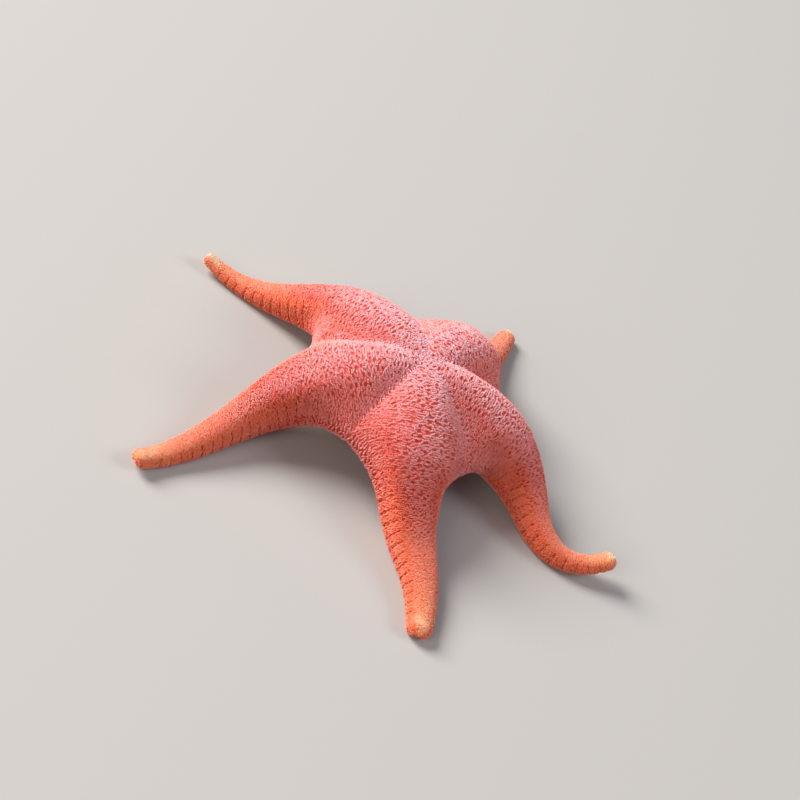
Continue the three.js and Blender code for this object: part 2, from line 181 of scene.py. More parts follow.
# the groove under an arm and the pit round the mouth
GROOVE_HALF_WIDTH, GROOVE_TIP_SHARE, GROOVE_DEPTH = 1.3, 0.4, 1.3
GROOVE_START, GROOVE_END, GROOVE_SHALLOWING = 6.0, 5.0, 0.55
PIT_DEPTH, PIT_REACH = 2.6, 3.4
# where an arm bends, in shares of its length, and how an axil's fillet dies away
BEND_FROM, BEND_OVER, TIP_BEND_FROM, TIP_BEND_OVER = 0.25, 0.45, 0.6, 0.4
FILLET_MIN_SLOPE, FILLET_MIN_LENGTH = 0.2, 0.3
MIDLINE_STEPS, THINNEST = 500, 1e-6
FIFTH = math.radians(72)
HALF_FIFTH = FIFTH / 2
mouth_low, mouth_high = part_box("mouth")
DISC_AT = (np.array(mouth_low) + np.array(mouth_high))[:2] / 2
print("disc centre, mm from the footprint's middle:", np.round(DISC_AT / MM, 2))

# %% [markdown]
# ## The five arms
# Each arm is one row of a table, with its own length, bends and width, because no two arms of a living
# star are alike. Copying one arm five times would be quicker, and would look like a toy.

# %% The arms and their axils
ARMS = {
    "rear": dict(right="right_rear", left="rear_rear_left", bearing=68.5, bend=4, tip_bend=13.3,
                 length=53.4, fall_from=0.12, touch=0.73, lift=0.2, lift_from=0.75,
                 tip_width=2.0, taper_width=3.5, flare=3.0),
    "rear_left": dict(right="rear_rear_left", left="rear_left_front_left", bearing=147.5, bend=29.5,
                      tip_bend=-5, length=62.1, fall_from=0, touch=0.80, lift=2.2, lift_from=0.82,
                      tip_width=1.6, taper_width=4.3, flare=3.2),
    "front_left": dict(right="rear_left_front_left", left="front_left_front", bearing=214, bend=30.8,
                       tip_bend=-13, length=67.3, fall_from=0, touch=0.64, lift=1.8, lift_from=0.85,
                       tip_width=2.1, taper_width=3.2, flare=4.0),
    "front": dict(right="front_left_front", left="front_right", bearing=292, bend=18, tip_bend=-26,
                  length=60.4, fall_from=0, touch=0.68, lift=0.2, lift_from=0.85,
                  tip_width=2.6, taper_width=3.9, flare=2.8),
    "right": dict(right="front_right", left="right_rear", bearing=361.5, bend=-50, tip_bend=84.5,
                  length=64.1, fall_from=0, touch=0.69, lift=5.1, lift_from=0.75,
                  tip_width=2.1, taper_width=1.1, flare=2.9),
}
AXILS = {  # distance from the disc's centre, and how far the fillet fills the notch
    "rear_rear_left": (22.7, 3.0), "rear_left_front_left": (23.6, 7.3),
    "front_left_front": (21.3, 7.6), "front_right": (22.0, 5.6), "right_rear": (21.9, 3.0),
}
NAMES = list(ARMS)
print("arms, mm along their midlines:", {name: arm["length"] for name, arm in ARMS.items()})

# %% [markdown]
# ## The body as a function
# A sea star's five arms are five copies of one plan, so the body is one function used five times. The
# disc is a regular five-part dome whose directions are gently warped so that each arm leaves at its
# own bearing; further out each arm follows its own bent midline. Both descriptions are blended, and
# so are their heights. All of it works on whole arrays of points at once.

# %% Bearings and heights
turns = FIFTH * np.arange(5)
gaps = np.array([ARMS[name]["bearing"] - ARMS["rear"]["bearing"] for name in NAMES]) - np.degrees(turns)
WAVES = [(m, 2 / 5 * np.sum(gaps * np.cos(m * turns)), 2 / 5 * np.sum(gaps * np.sin(m * turns)))
         for m in (1, 2)]


def bearing_of(angle):
    """The regular star's angle turned to the real bearing by a trigonometric wave through the five arms."""
    shift = gaps.mean() + sum(c * np.cos(m * angle) + s * np.sin(m * angle) for m, c, s in WAVES)
    return math.radians(ARMS["rear"]["bearing"]) + angle + np.radians(shift)


def back_rise(x, arm=None):
    """Height of the back over the middle layer: a tapering arch, dipped at the disc's centre."""
    length, tip = (arm["length"], TIP_RISE * arm["tip_width"] / PLAIN_TIP) if arm else (SPAN, TIP_RISE)
    taper = (1 - np.clip(x / length, 0, 1) ** TAPER_START) ** TAPER_END
    return tip + (BACK_RISE - TIP_RISE) * taper - CENTRE_DIP * np.exp(-(x / CENTRE_DIP_REACH) ** 2)


def belly_depth(rise):
    """Depth of the underside below the middle layer: nine tenths of the back's rise, up to a limit."""
    return np.minimum(BELLY_SHARE * rise + BELLY_EXTRA, BELLY_MAX)


def mid_height(x, arm=None):
    """Height of the middle layer: from the raised disc down to lying on the floor, tips lifted again."""
    length = arm["length"] if arm else SPAN
    start, stop = (arm["fall_from"], arm["touch"]) if arm else (0, LANDING)
    belly = belly_depth(back_rise(x, arm))
    up = 1 - smooth((x / length - start) / (stop - start))
    height = belly - FLOOR_BITE * (1 - up) + (MIDLINE_HEIGHT - belly) * up
    if arm is None:
        return height
    lift = np.clip((x / length - arm["lift_from"]) / (1 - arm["lift_from"]), 0, 1)
    return height + arm["lift"] * lift ** 2


print("height of the back over the middle layer, mm:", [round(float(back_rise(x)), 1) for x in (0, 20, 40)])

# %% [markdown]
# ## Midlines
# An arm is a living tube that bends as it likes, so its midline is walked step by step: the heading
# turns by the arm's bends and the slope follows its heights, so that the length stays true. A curve
# object could follow the same path, but here every point's own place and directions are needed.

# %% Midlines
def walk_midline(arm):
    """The midline in equal steps of its own length: heading from the bends, slope from the heights."""
    x = np.linspace(0, arm["length"], MIDLINE_STEPS)
    q = x / arm["length"]
    heading = np.radians(arm["bearing"] + arm["bend"] * smooth((q - BEND_FROM) / BEND_OVER)
                         + arm["tip_bend"] * smooth((q - TIP_BEND_FROM) / TIP_BEND_OVER))
    z = mid_height(x, arm)
    rise = np.clip(np.gradient(z, x), -STEEPEST, STEEPEST)
    run = np.sqrt(1 - rise ** 2)
    forward = np.stack([run * np.cos(heading), run * np.sin(heading)])
    way = np.concatenate([np.zeros((2, 1)), np.cumsum(forward[:, :-1] * x[1], axis=1)], axis=1)
    return dict(x=x, px=way[0], py=way[1], pz=z, heading=heading, rise=rise, run=run)


MIDLINES = {name: walk_midline(arm) for name, arm in ARMS.items()}


def frame_at(name, x):
    """Point, leftward and upward directions of an arm's midline at x, between the walked steps."""
    line = MIDLINES[name]
    px, py, pz, heading, rise, run = (np.interp(x, line["x"], line[key])
                                      for key in ("px", "py", "pz", "heading", "rise", "run"))
    c, s = np.cos(heading), np.sin(heading)
    return (np.stack([px, py, pz], -1), np.stack([-s, c, 0 * c], -1),
            np.stack([-rise * c, -rise * s, run], -1))


print("tips, mm from the disc's centre:", [round(float(np.hypot(line["px"][-1], line["py"][-1])), 1)
                                           for line in MIDLINES.values()])

# %% [markdown]
# ## Widths
# An arm's edge has two parts. Up to the axil it is the straight crease that the arm shares with its
# neighbour, and beyond it a curve that narrows to the tip, fast at first and then slowly. The axil is
# rounded out, as skin is between two fingers, by an added bulge that dies away along the edge.

# %% Widths
def axil_x(axil):
    """How far along the arm its axil lies."""
    return AXILS[axil][0] * math.cos(HALF_FIFTH)


def axil_beside(arm, t):
    """The same for places across the arm: the left axil where t is above 0, otherwise the right one."""
    return np.where(t > 0, axil_x(arm["left"]), axil_x(arm["right"]))


def half_widths(arm, axil, x):
    """Half widths of one side of the arm at x. Past the axil the edge is the tip's width, plus a
    straight taper, plus a rest that falls as (1 - q) to the power flare, plus a fillet that dies away as
    a negative exponential. The inner columns follow the smaller of crease and plain edge, blended by a
    hyperbola, so that they pass the axil without a corner."""
    tip, taper, flare, length = arm["tip_width"], arm["taper_width"], arm["flare"], arm["length"]
    radius, fillet = AXILS[axil]
    start = axil_x(axil)
    crease = x * math.tan(HALF_FIFTH)
    rest = radius * math.sin(HALF_FIFTH) - tip - taper
    q = np.clip((x - start) / (length - start), 0, 1)
    turn = 1 / math.tan(HALF_FIFTH) - (taper + (rest - fillet) * flare) / (length - start)
    reach = max(fillet / max(turn, FILLET_MIN_SLOPE), FILLET_MIN_LENGTH)
    edge = (tip + taper * (1 - q) + (rest - fillet) * (1 - q) ** flare
            + fillet * np.exp(-np.clip(x - start, 0, None) / reach))
    free = (x - start) / (length - start)
    plain = tip + taper * (1 - free) + rest * np.clip(1 - free, 0, None) ** flare
    blend = EDGE_BLEND * np.clip(x / start, 0, 1)
    inner = (crease + plain - np.hypot(crease - plain, blend)) / 2
    return np.where(x < start, crease, edge), inner


def widths_beside(arm, x, t):
    """Both widths for places across the arm: the left side's where t is above 0, otherwise the right's."""
    left, right = half_widths(arm, arm["left"], x), half_widths(arm, arm["right"], x)
    return [np.where(t > 0, *sides) for sides in zip(left, right)]


print("axils, mm along the arms:", [round(axil_x(axil), 1) for axil in AXILS])

# %% [markdown]
# ## Back and underside
# Across the arm the back is an arch, and the underside a flatter one with a groove for the tube feet
# and a pit round the mouth. Both arches are superellipses, between an ellipse and a box, because the
# body is a bag under pressure. Sculpting would give the same, but a formula can be asked for any point.

# %% Heights across the arm
def arch(out, crease, roundness):
    """An arch's height as a share of its rise, out being 0 in the middle and 1 at the edge, where the
    crease's share is left: (1 - fall) to the power 1/roundness, with a fall of out to the power
    roundness times (1 - crease to the power roundness)."""
    fall = out ** roundness * (1 - crease ** roundness)
    return np.clip(1 - fall, 0, 1) ** (1 / roundness)


def back_arch(x, out, start):
    """The back's arch. Its crease sinks with the distance and closes at the axil (start), and beside a
    crease the arch is rounded off, so that neighbouring arms meet in a soft furrow."""
    q = np.clip(x / start, 0, 1)
    sunk = 1 - CREASE_DEPTH * smooth(q / CREASE_GROWTH)
    crease = sunk * np.sqrt(np.clip(1 - q ** BACK_CLOSING, 0, 1))
    rounding = 1 - smooth((x / start - ROUNDING_UNTIL) / ROUNDING_FADE)
    levelled = CREASE_ROUNDING / ROUNDING_POWER * rounding
    across = (out - levelled * out ** ROUNDING_POWER) / (1 - levelled)
    return arch(across, crease, BACK_ROUNDNESS)


def belly_arch(x, out, start):
    """The underside's arch, level over the whole disc until its crease closes at the axil."""
    crease = np.sqrt(np.clip(1 - np.clip(x / start, 0, 1) ** BELLY_CLOSING, 0, 1))
    return arch(out, crease, BELLY_ROUNDNESS)


def groove_half(width):
    """Half width of the groove: the same all along, but never more than a share of the arm's width."""
    return np.minimum(GROOVE_HALF_WIDTH, GROOVE_TIP_SHARE * width)


def groove_depth(arm, x):
    """Depth of the groove under the arm: none at the mouth and the tip, and less and less outwards."""
    run = smooth(x / GROOVE_START) * smooth((arm["length"] - x) / GROOVE_END)
    return GROOVE_DEPTH * run * (1 - GROOVE_SHALLOWING * x / arm["length"])


print("groove half way along the front arm, mm deep:", round(float(groove_depth(ARMS["front"], 30.0)), 2))

# %% [markdown]
# ## The surface
# Now any point can be found. Its height and its distance to the side are laid out twice, once on the
# disc's own map and once beside the arm's midline, and the two places are mixed: on the disc the first
# counts, beyond the axils the second. So the disc stays whole and the arms are free to bend.

# %% The surface
def surface(name, x, t, sheet):
    """Points in millimetres about the disc's centre, at x along the arm and t (-1 to 1) across it, on
    the back (sheet 1) or the underside (sheet -1). The distance to the side is t times the inner width,
    drawn out to the real edge by a high power of t, and the tip is capped by a quarter circle. Nothing
    goes under the floor."""
    arm = ARMS[name]
    start = axil_beside(arm, t)
    edge, inner = widths_beside(arm, x, t)
    to_tip = np.clip((x - arm["length"] + arm["tip_width"]) / arm["tip_width"], 0, 1)
    cap = np.sqrt(1 - to_tip ** 2)
    out = np.abs(t)
    y = cap * (t * inner + np.sign(t) * out ** EDGE_SHARPNESS * (edge - inner))
    radius = np.hypot(x, y)
    share = smooth((x - start * mix(DISC_HOLD, 1, out ** 2)) / (POSE_BLEND * start))
    rise = mix(back_rise(radius), back_rise(x, arm), share) * cap
    if sheet > 0:
        height = rise * back_arch(x, out, start)
    else:
        groove = np.maximum(groove_half(inner * cap), THINNEST)
        height = -belly_depth(rise) * cap * belly_arch(x, out, start)
        height = height + groove_depth(arm, x) * np.clip(1 - np.abs(y) / groove, 0, 1)
        height = height + PIT_DEPTH * np.exp(-(radius / PIT_REACH) ** 2)
    angle = bearing_of(np.arctan2(y, x) + FIFTH * NAMES.index(name))
    on_disc = np.stack([radius * np.cos(angle), radius * np.sin(angle), mid_height(radius) + height], -1)
    point, leftward, upward = frame_at(name, x)
    on_arm = point + y[..., None] * leftward + height[..., None] * upward
    points = mix(on_disc, on_arm, share[..., None])
    points[..., 2] = np.maximum(points[..., 2], 0)
    return points


def in_metres(points):
    """Millimetres about the disc's centre to metres in the model's frame."""
    moved = points * MM
    moved[..., :2] += DISC_AT
    return moved


print("top of the disc, mm:", np.round(surface("front", np.zeros(1), np.zeros(1), 1)[0, 2], 1))

# %% [markdown]
# ## Camera
# The camera looks down at about forty degrees with a long lens, as a visitor does over a tank, and is
# rolled so that the star lies across the picture. A camera could be moved by hand until it looks right.
# Here its place is worked out from where the top of the disc should fall in the picture.

# %% Camera
CAMERA_ELEVATION, CAMERA_ROLL, CAMERA_DISTANCE = math.radians(42.6), math.radians(28.7), 0.45
FRAME_PIXELS = 800
PIXEL_SIZE = 0.2117 * MM
AIM_PIXEL = (428.0, 358.4)
SENSOR, NEAR_CLIP = 36.0, 0.01

back = np.array([0, -math.cos(CAMERA_ELEVATION), math.sin(CAMERA_ELEVATION)])
level = np.array([1.0, 0, 0])
upward = np.cross(level, -back)
image_right = math.cos(CAMERA_ROLL) * level + math.sin(CAMERA_ROLL) * upward
image_up = math.cos(CAMERA_ROLL) * upward - math.sin(CAMERA_ROLL) * level
aim = np.array([*DISC_AT, (MIDLINE_HEIGHT + back_rise(0.0)) * MM])
aside, above = ((pixel - FRAME_PIXELS / 2) * PIXEL_SIZE for pixel in AIM_PIXEL)
eye = aim + back * CAMERA_DISTANCE - image_right * aside + image_up * above
camera_data = bpy.data.cameras.new("camera")
camera_data.sensor_width = SENSOR
camera_data.lens = CAMERA_DISTANCE / PIXEL_SIZE / FRAME_PIXELS * SENSOR
camera_data.clip_start = NEAR_CLIP
camera = bpy.data.objects.new("camera", camera_data)
turned = np.stack([image_right, image_up, back, eye], axis=1)
camera.matrix_world = Matrix([*turned.tolist(), [0, 0, 0, 1]])
bpy.context.scene.collection.objects.link(camera)
bpy.context.scene.camera = camera
print("lens, mm:", round(camera_data.lens, 1), "camera height, m:", round(eye[2], 3))

# %% [markdown]
# ## Floor and lights
# A studio floor is a wide sheet of matt paper, so one square will do. The light is a large soft window
# on the left, which rakes over the spinelets, a weaker one on the right, and a faint fill from the front.
# Small lights would make every spinelet throw a hard line, so each is a disc about a metre wide. The
# world's own faint grey light fills the deepest shade.

# %% Floor and lights
FLOOR_HALF = 3.0
LIGHTS_AIM = (0, 0, 0.01)
WORLD_STRENGTH = 0.24
paper, _, _ = new_material("matt_paper", Base_Color=linear("#AAA8A5"), Roughness=0.9)
corners = FLOOR_HALF * np.array([[-1, -1, 0], [1, -1, 0], [1, 1, 0], [-1, 1, 0]])
floor = mesh_object("floor", corners, np.array([[0, 1, 2, 3]]), paper)


def area_light(name, place, size, power, colour):
    """A round soft light at a place in metres, turned to the star; its power is in watts."""
    light = bpy.data.lights.new(name, "AREA")
    light.shape, light.size, light.energy = "DISK", size, power
    light.color = linear(colour)[:3]
    obj = bpy.data.objects.new(name, light)
    obj.location = place
    obj.rotation_euler = (Vector(LIGHTS_AIM) - Vector(place)).to_track_quat("-Z", "Y").to_euler()
    bpy.context.scene.collection.objects.link(obj)


area_light("window_light", place=(-1.55, 0.30, 1.15), size=1.1, power=72.0, colour="#FFFBF8")
area_light("side_light", place=(1.5, 0.3, 1.2), size=0.9, power=15.0, colour="#F4F6FF")
area_light("fill_light", place=(-0.6, -1.2, 0.9), size=0.9, power=8.5, colour="#FFF4EC")
world = bpy.data.worlds.new("studio")
world.use_nodes = True
sky = world.node_tree.nodes["Background"].inputs
sky["Color"].default_value, sky["Strength"].default_value = linear("#E8EAF0"), WORLD_STRENGTH
bpy.context.scene.world = world
bpy.context.scene.view_settings.view_transform = "Standard"
print("three lights and a floor", 2 * FLOOR_HALF, "m wide")

# %% [markdown]
# ## The star's colours
# The colour of a blood star is in its skin, not on it: a deep orange-red on the disc that turns to
# clear orange along the arms and to a pale yellow at their very ends. The spinelets are a paler and
# pinker version of the same colour. So one function makes the markings, and both the skin and the
# spinelets use it. It reads three numbers stored on the surface: how far along the arm a point is, how
# far down the arm's side, where the orange is clearer, and how far in on the underside, which is paler.

# %% Markings shared by skin and spinelets
# the darkest stops of both lists, half way along the arms, are partly the skin's own deeper red and partly
# painted shade for the steep part where an arm comes down
SKIN_COLOURS = [(0.0, "#EC7268"), (0.30, "#E85C4C"), (0.50, "#C43420"), (0.72, "#EE5C2E"),
                (0.93, "#F47A3E"), (1.0, "#FFB078")]
POINT_COLOURS = [(0.0, "#F89EA2"), (0.30, "#FA9890"), (0.46, "#EA6A54"), (0.62, "#F87A58"),
                 (0.90, "#FA8C58"), (0.965, "#FF9E68"), (1.0, "#FFD4A8")]
# painted sheen: the points of tufts whose skin faces up are mixed towards this pale pink, which stands for
# sky light
PAINTED_SHEEN_COLOUR, PAINTED_SHEEN, PAINTED_SHEEN_ON_ARMS = "#F2C4CE", 0.7, 0.18
FLANK_SKIN, FLANK_POINTS, FLANK_MOST = "#E8481C", "#FF7A4C", 0.7
BELLY_SKIN, BELLY_POINTS, BELLY_MOST = "#F08A58", "#FFC89C", 0.75
# painted shade: the dark inside of the slits
PAINTED_SLIT_SHADE = "#A62E1E"
BLOTCH_SIZE, BLOTCH_SHIFT = 5.0 * MM, 0.06
NOISE_LOW, NOISE_HIGH = 0.3, 0.7


def markings(tree, stops, flank_colour, belly_colour):
    """Colour along the arm, from (position, hex) stops shifted by soft blotches so that no band has a
    straight edge; then mixed with the clearer orange of the flanks and the paler one of the underside."""
    place = add(tree, "TexCoord", out="Object")
    blotch = add(tree, "TexNoise", {"Vector": place, "Scale": 1 / BLOTCH_SIZE, "Detail": 2.0})
    along, flank, belly = (add(tree, "Attribute", out="Fac", attribute_name=name)
                           for name in ("along", "flank", "belly"))
    shift = add(tree, "MapRange", {0: blotch, 1: NOISE_LOW, 2: NOISE_HIGH, 3: -BLOTCH_SHIFT,
                                   4: BLOTCH_SHIFT})
    shifted = add(tree, "Math", {0: along, 1: shift}, operation="ADD")
    colour = add(tree, "ValToRGB", {0: shifted})
    elements = colour.node.color_ramp.elements
    while len(elements) < len(stops):
        elements.new(0.5)
    for element, (position, hex_colour) in zip(elements, stops):
        element.position, element.color = position, linear(hex_colour)
    for share, most, other in ((flank, FLANK_MOST, flank_colour), (belly, BELLY_MOST, belly_colour)):
        part = add(tree, "Math", {0: share, 1: most}, operation="MULTIPLY")
        colour = add(tree, "Mix", {0: part, 6: colour, 7: linear(other)}, out=2, data_type="RGBA")
    return colour


print("colour stops along an arm:", len(SKIN_COLOURS), "on the skin,", len(POINT_COLOURS), "on spinelets")

# %% [markdown]
# ## The skin's finish
# The real skin is thin wet leather over lime plates, pricked with pores for the breathing gills. It grows
# that way, so nothing in it is straight or even: noise of about half a millimetre makes the pores, which
# are darker and a little sunk. Some light passes under the surface, which softens the shadows between
# the spinelets and keeps them red.

# %% Skin: thin wet leather over lime plates
PORE_SIZE, PORE_DEPTH, PORE_DARKENING = 0.45 * MM, 0.12 * MM, 0.35
PORE_LOW, PORE_HIGH = 0.4, 0.6
# the second colour is painted shade, for the notches between edge plates
PORE_COLOUR, PAINTED_NOTCH_SHADE = "#B04038", "#9A2A18"


def skin_material():
    """Wet, leathery skin: the markings, darker in the pores, with painted shade in the notches between
    edge plates, and a little light passing under the surface."""
    material, tree, shader = new_material(
        "wet_leathery_skin", Roughness=0.5, Specular_IOR_Level=0.4, Subsurface_Weight=0.2,
        Subsurface_Radius=(1.0, 0.35, 0.2), Subsurface_Scale=0.9 * MM)
    place = add(tree, "TexCoord", out="Object")
    pores = add(tree, "TexNoise", {"Vector": place, "Scale": 1 / PORE_SIZE, "Detail": 2.0})
    full = add(tree, "MapRange", {0: pores, 1: PORE_LOW, 2: PORE_HIGH, 3: 0.0, 4: 1.0})
    hollow = add(tree, "Attribute", out="Fac", attribute_name="hollow")
    colour = markings(tree, SKIN_COLOURS, FLANK_SKIN, BELLY_SKIN)
    shaded = add(tree, "Mix", {0: PORE_DARKENING, 6: colour, 7: linear(PORE_COLOUR)}, out=2,
                 data_type="RGBA", blend_type="MULTIPLY")
    porous = add(tree, "Mix", {0: full, 6: shaded, 7: colour}, out=2, data_type="RGBA")
    # painted shade in the notches between edge plates
    hollowed = add(tree, "Mix", {0: hollow, 6: porous, 7: linear(PAINTED_NOTCH_SHADE)}, out=2, data_type="RGBA")
    bump = add(tree, "Bump", {"Height": full, "Strength": 0.5, "Distance": PORE_DEPTH})
    tree.links.new(hollowed, shader.inputs["Base Color"])
    tree.links.new(bump, shader.inputs["Normal"])
    return material


skin_leather = skin_material()
print("skin material:", len(skin_leather.node_tree.nodes), "nodes")

# %% [markdown]
# ## The plates along the arms' edges
# Under the skin of each arm's edge runs a row of larger lime plates, which show as a string of low
# lobes with notches between them. They could be a bump in the material, but they show at the outline,
# so they are a real relief: every few millimetres along the edge the surface dips a little.

# %% Relief of the edge plates
PLATE_PITCH, NOTCH_WIDTH, NOTCH_DEPTH = 2.4, 0.24, 0.36
PLATES_FROM, PLATES_REACH = {1: 0.70, -1: 0.78}, 0.14
PLATES_START, PLATES_GROW, PLATES_END, PLATES_SHRINK = 16, 14, 2, 3
LEFT_SHIFT = 0.35
AXIL_CLEARANCE, AXIL_EDGE = 1.5, 0.86


def notch(name, x, t, sheet):
    """1 in the notches between edge plates and 0 elsewhere: a bell curve round each multiple of the
    plate's length, faded in from the arm's side, from its base and from its tip, and left out at the
    axil. The two edges are out of step."""
    arm = ARMS[name]
    place = x / PLATE_PITCH + LEFT_SHIFT * (t > 0)
    off = np.abs(place - np.round(place)) * PLATE_PITCH
    zone = smooth((np.abs(t) - PLATES_FROM[sheet]) / PLATES_REACH)
    zone = zone * smooth((x - PLATES_START) / PLATES_GROW)
    zone = zone * smooth((arm["length"] - PLATES_END - x) / PLATES_SHRINK)
    crease = 1 - smooth((x - axil_beside(arm, t)) / AXIL_CLEARANCE)
    crease = crease * smooth((np.abs(t) - AXIL_EDGE) / (1 - AXIL_EDGE))
    return zone * (1 - crease) * np.exp(-(off / NOTCH_WIDTH) ** 2)


plate_run = ARMS["front"]["length"] - PLATES_START - PLATES_END
print("notches on one edge of the front arm:", int(plate_run / PLATE_PITCH))

# %% [markdown]
# ## The skin
# The skin is one closed sheet over all five arms. It could be sculpted, but a grid worked out from
# the body function has its rows across the arms and its columns along them, which is how the lime
# plates of the real animal are laid. Each arm gives two sheets, back and underside; equal points at
# the creases and edges are merged, and the whole is sunk by the depth of the spinelets' coat, so that
# the points of the spinelets reach the measured outline.

# %% Grid lines
DISC_ROWS, ARM_ROWS, TIP_ROWS = 40, 104, 12
BACK_COLUMNS, HALF_BELLY_COLUMNS = 56, 22
ROW_GROWTH, EDGE_CROWDING, GROOVE_CROWDING = 0.4, 0.6, 0.65
COAT_AT_BASE, COAT_AT_TIP, COAT_THINS_FROM, COAT_THINS_OVER = 0.55, 0.24, 0.3, 0.45


def coat_depth(along):
    """Height of the spinelets in mm, from the disc (along = 0) to the arm's tip (along = 1)."""
    return mix(COAT_AT_BASE, COAT_AT_TIP, smooth((along - COAT_THINS_FROM) / COAT_THINS_OVER))


def row_lines(name, t):
    """Distances of the grid's rows for each column t, close together at the axils and round the tip."""
    arm = ARMS[name]
    start = mix(axil_x(arm["right"]), axil_x(arm["left"]), (t[None, :] + 1) / 2)
    end = arm["length"] - arm["tip_width"]
    u = np.sin(np.pi / 2 * np.arange(DISC_ROWS + 1) / DISC_ROWS)[:, None]
    v = (np.arange(1, ARM_ROWS + 1) / ARM_ROWS)[:, None]
    w = np.sin(np.pi / 2 * np.arange(1, TIP_ROWS + 1) / TIP_ROWS)[:, None]
    return np.concatenate([start * u, mix(start, end, (1 - ROW_GROWTH) * v + ROW_GROWTH * v * v),
                           end + arm["tip_width"] * w + 0 * start])


def column_lines(sheet):
    """Columns from -1 to 1: denser at the edges on the back, and at the groove on the underside."""
    if sheet > 0:
        even = np.linspace(-1, 1, BACK_COLUMNS + 1)
        return (1 - EDGE_CROWDING) * even + EDGE_CROWDING * np.sin(np.pi / 2 * even)
    half = np.linspace(0, 1, HALF_BELLY_COLUMNS + 1)
    half = (1 - GROOVE_CROWDING) * half + GROOVE_CROWDING * half ** 2
    return np.concatenate([-half[:0:-1], half])


print("coat, mm, at the disc and at a tip:", coat_depth(0.0), coat_depth(1.0))

# %% [markdown]
# ## Ten sheets
# Each grid is turned into points, and every point also gets the numbers that the markings read. The
# colours could be painted by hand on a picture, but numbers that come from the form itself fit it
# exactly, and the spinelets can be given the same ones.

# %% Sheets of the skin
UNDER_FROM, UNDER_REACH, DISC_REACH = 0.22, 0.5, 6.0
FLANK_FROM, FLANK_REACH, FLANK_START = 0.42, 0.45, 15.0


def under(name, x, t, sheet):
    """How much of the underside's paler colour: none on the back or at the edge, all of it inside."""
    inside_disc = (axil_beside(ARMS[name], t) - x) / DISC_REACH
    return smooth(np.maximum((1 - np.abs(t) - UNDER_FROM) / UNDER_REACH, inside_disc)) * (sheet < 0)


def flank(name, x, t, sheet):
    """How far down an arm's side a point lies: 0 on top, 1 at the edge and under it, 0 on the disc."""
    side = smooth((np.abs(t) - FLANK_FROM) / FLANK_REACH) if sheet > 0 else 1.0
    return side * smooth((x - axil_beside(ARMS[name], t)) / FLANK_START)


def skin_sheet(name, sheet):
    """One sheet of one arm: points, triangles and, per point, how far along, notch, flank and underside."""
    t = column_lines(sheet)
    x = row_lines(name, t)
    t = np.broadcast_to(t, x.shape)
    number = np.arange(x.size).reshape(x.shape)
    quads = np.stack([number[:-1, :-1], number[1:, :-1], number[1:, 1:], number[:-1, 1:]], -1)
    quads = quads.reshape(-1, 4)[:, ::sheet]
    values = (x / ARMS[name]["length"], *(value(name, x, t, sheet) for value in (notch, flank, under)))
    return (surface(name, x, t, sheet).reshape(-1, 3), np.concatenate([quads[:, :3], quads[:, [0, 2, 3]]]),
            [value.ravel() for value in values])


sheets = [skin_sheet(name, sheet) for name in NAMES for sheet in (1, -1)]
print("sheets:", len(sheets), "with", sum(len(sheet[0]) for sheet in sheets), "points")

# %% [markdown]
# ## One skin without seams
# Ten sheets side by side would show their seams, and light would leak in. So points that fall on the
# same spot are merged, which also closes the poles at the disc's centre and the tips, where a whole row
# shrinks to one point. Blender's Merge by Distance does the same; here it is a search for equal rounded
# coordinates. Then each point moves inwards along its normal, by the coat's depth and the notches' relief.

# %% Weld, sink and make the skin
# the second number says how much of a notch is painted on the skin as shade
WELD_STEP, NOTCH_SHADE_SHARE = 1e-4, 0.4


def unit(vectors):
    """Each vector divided by its length."""
    return vectors / (np.linalg.norm(vectors, axis=-1, keepdims=True) + THINNEST ** 2)


def weld(points, tris):
    """Merges points that lie on the same spot and drops the triangles that vanish."""
    keys = np.round(points / WELD_STEP).astype(np.int64)
    _, first, inverse = np.unique(keys, axis=0, return_index=True, return_inverse=True)
    tris = inverse.ravel()[tris]
    alive = (tris[:, 0] != tris[:, 1]) & (tris[:, 1] != tris[:, 2]) & (tris[:, 2] != tris[:, 0])
    return first, tris[alive]


def point_normals(points, tris):
    """Unit normals: each triangle's own normal, added up over the triangles round a point."""
    a, b, c = points[tris[:, 0]], points[tris[:, 1]], points[tris[:, 2]]
    face = np.cross(b - a, c - a)
    total = np.stack([sum(np.bincount(tris[:, k], face[:, axis], len(points)) for k in range(3))
                      for axis in range(3)], -1)
    return unit(total)


points, tris, values = joined(sheets)
first, tris = weld(points, tris)
points, along, hollow, side, belly = (value[first] for value in (points, *values))
points = points - point_normals(points, tris) * (coat_depth(along) + NOTCH_DEPTH * hollow)[:, None]
skin = mesh_object("skin", in_metres(points), tris, skin_leather)
# the stored hollow carries the painted shade of the notches
give(skin, along=along, flank=side, belly=belly, hollow=NOTCH_SHADE_SHARE * hollow)
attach(skin, "root")
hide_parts("disc", *(f"arm_{name}_{part}" for name in NAMES for part in ("base", "middle", "tip")))
print("skin:", len(points), "points,", len(tris), "triangles")

# %% [markdown]
# ## Where the spinelets stand
# Each lime plate of the back carries a tuft of short blunt spinelets, standing like the bristles of a
# nail brush. Between the plates are small slits where the skin's breathing gills come out. Rows of
# tufts and slits run across the arm, and every second row is shifted by half a step, as in a woven
# fence. A particle system would scatter them at random, which the animal doesn't, so the places are a
# lattice: in one row tufts and slits take turns, in the next stand tufts alone, and a small random shift
# keeps it from looking printed. The pattern grows finer along the arm, and on the underside it is
# coarser, where nobody looks closely and triangles can be saved.

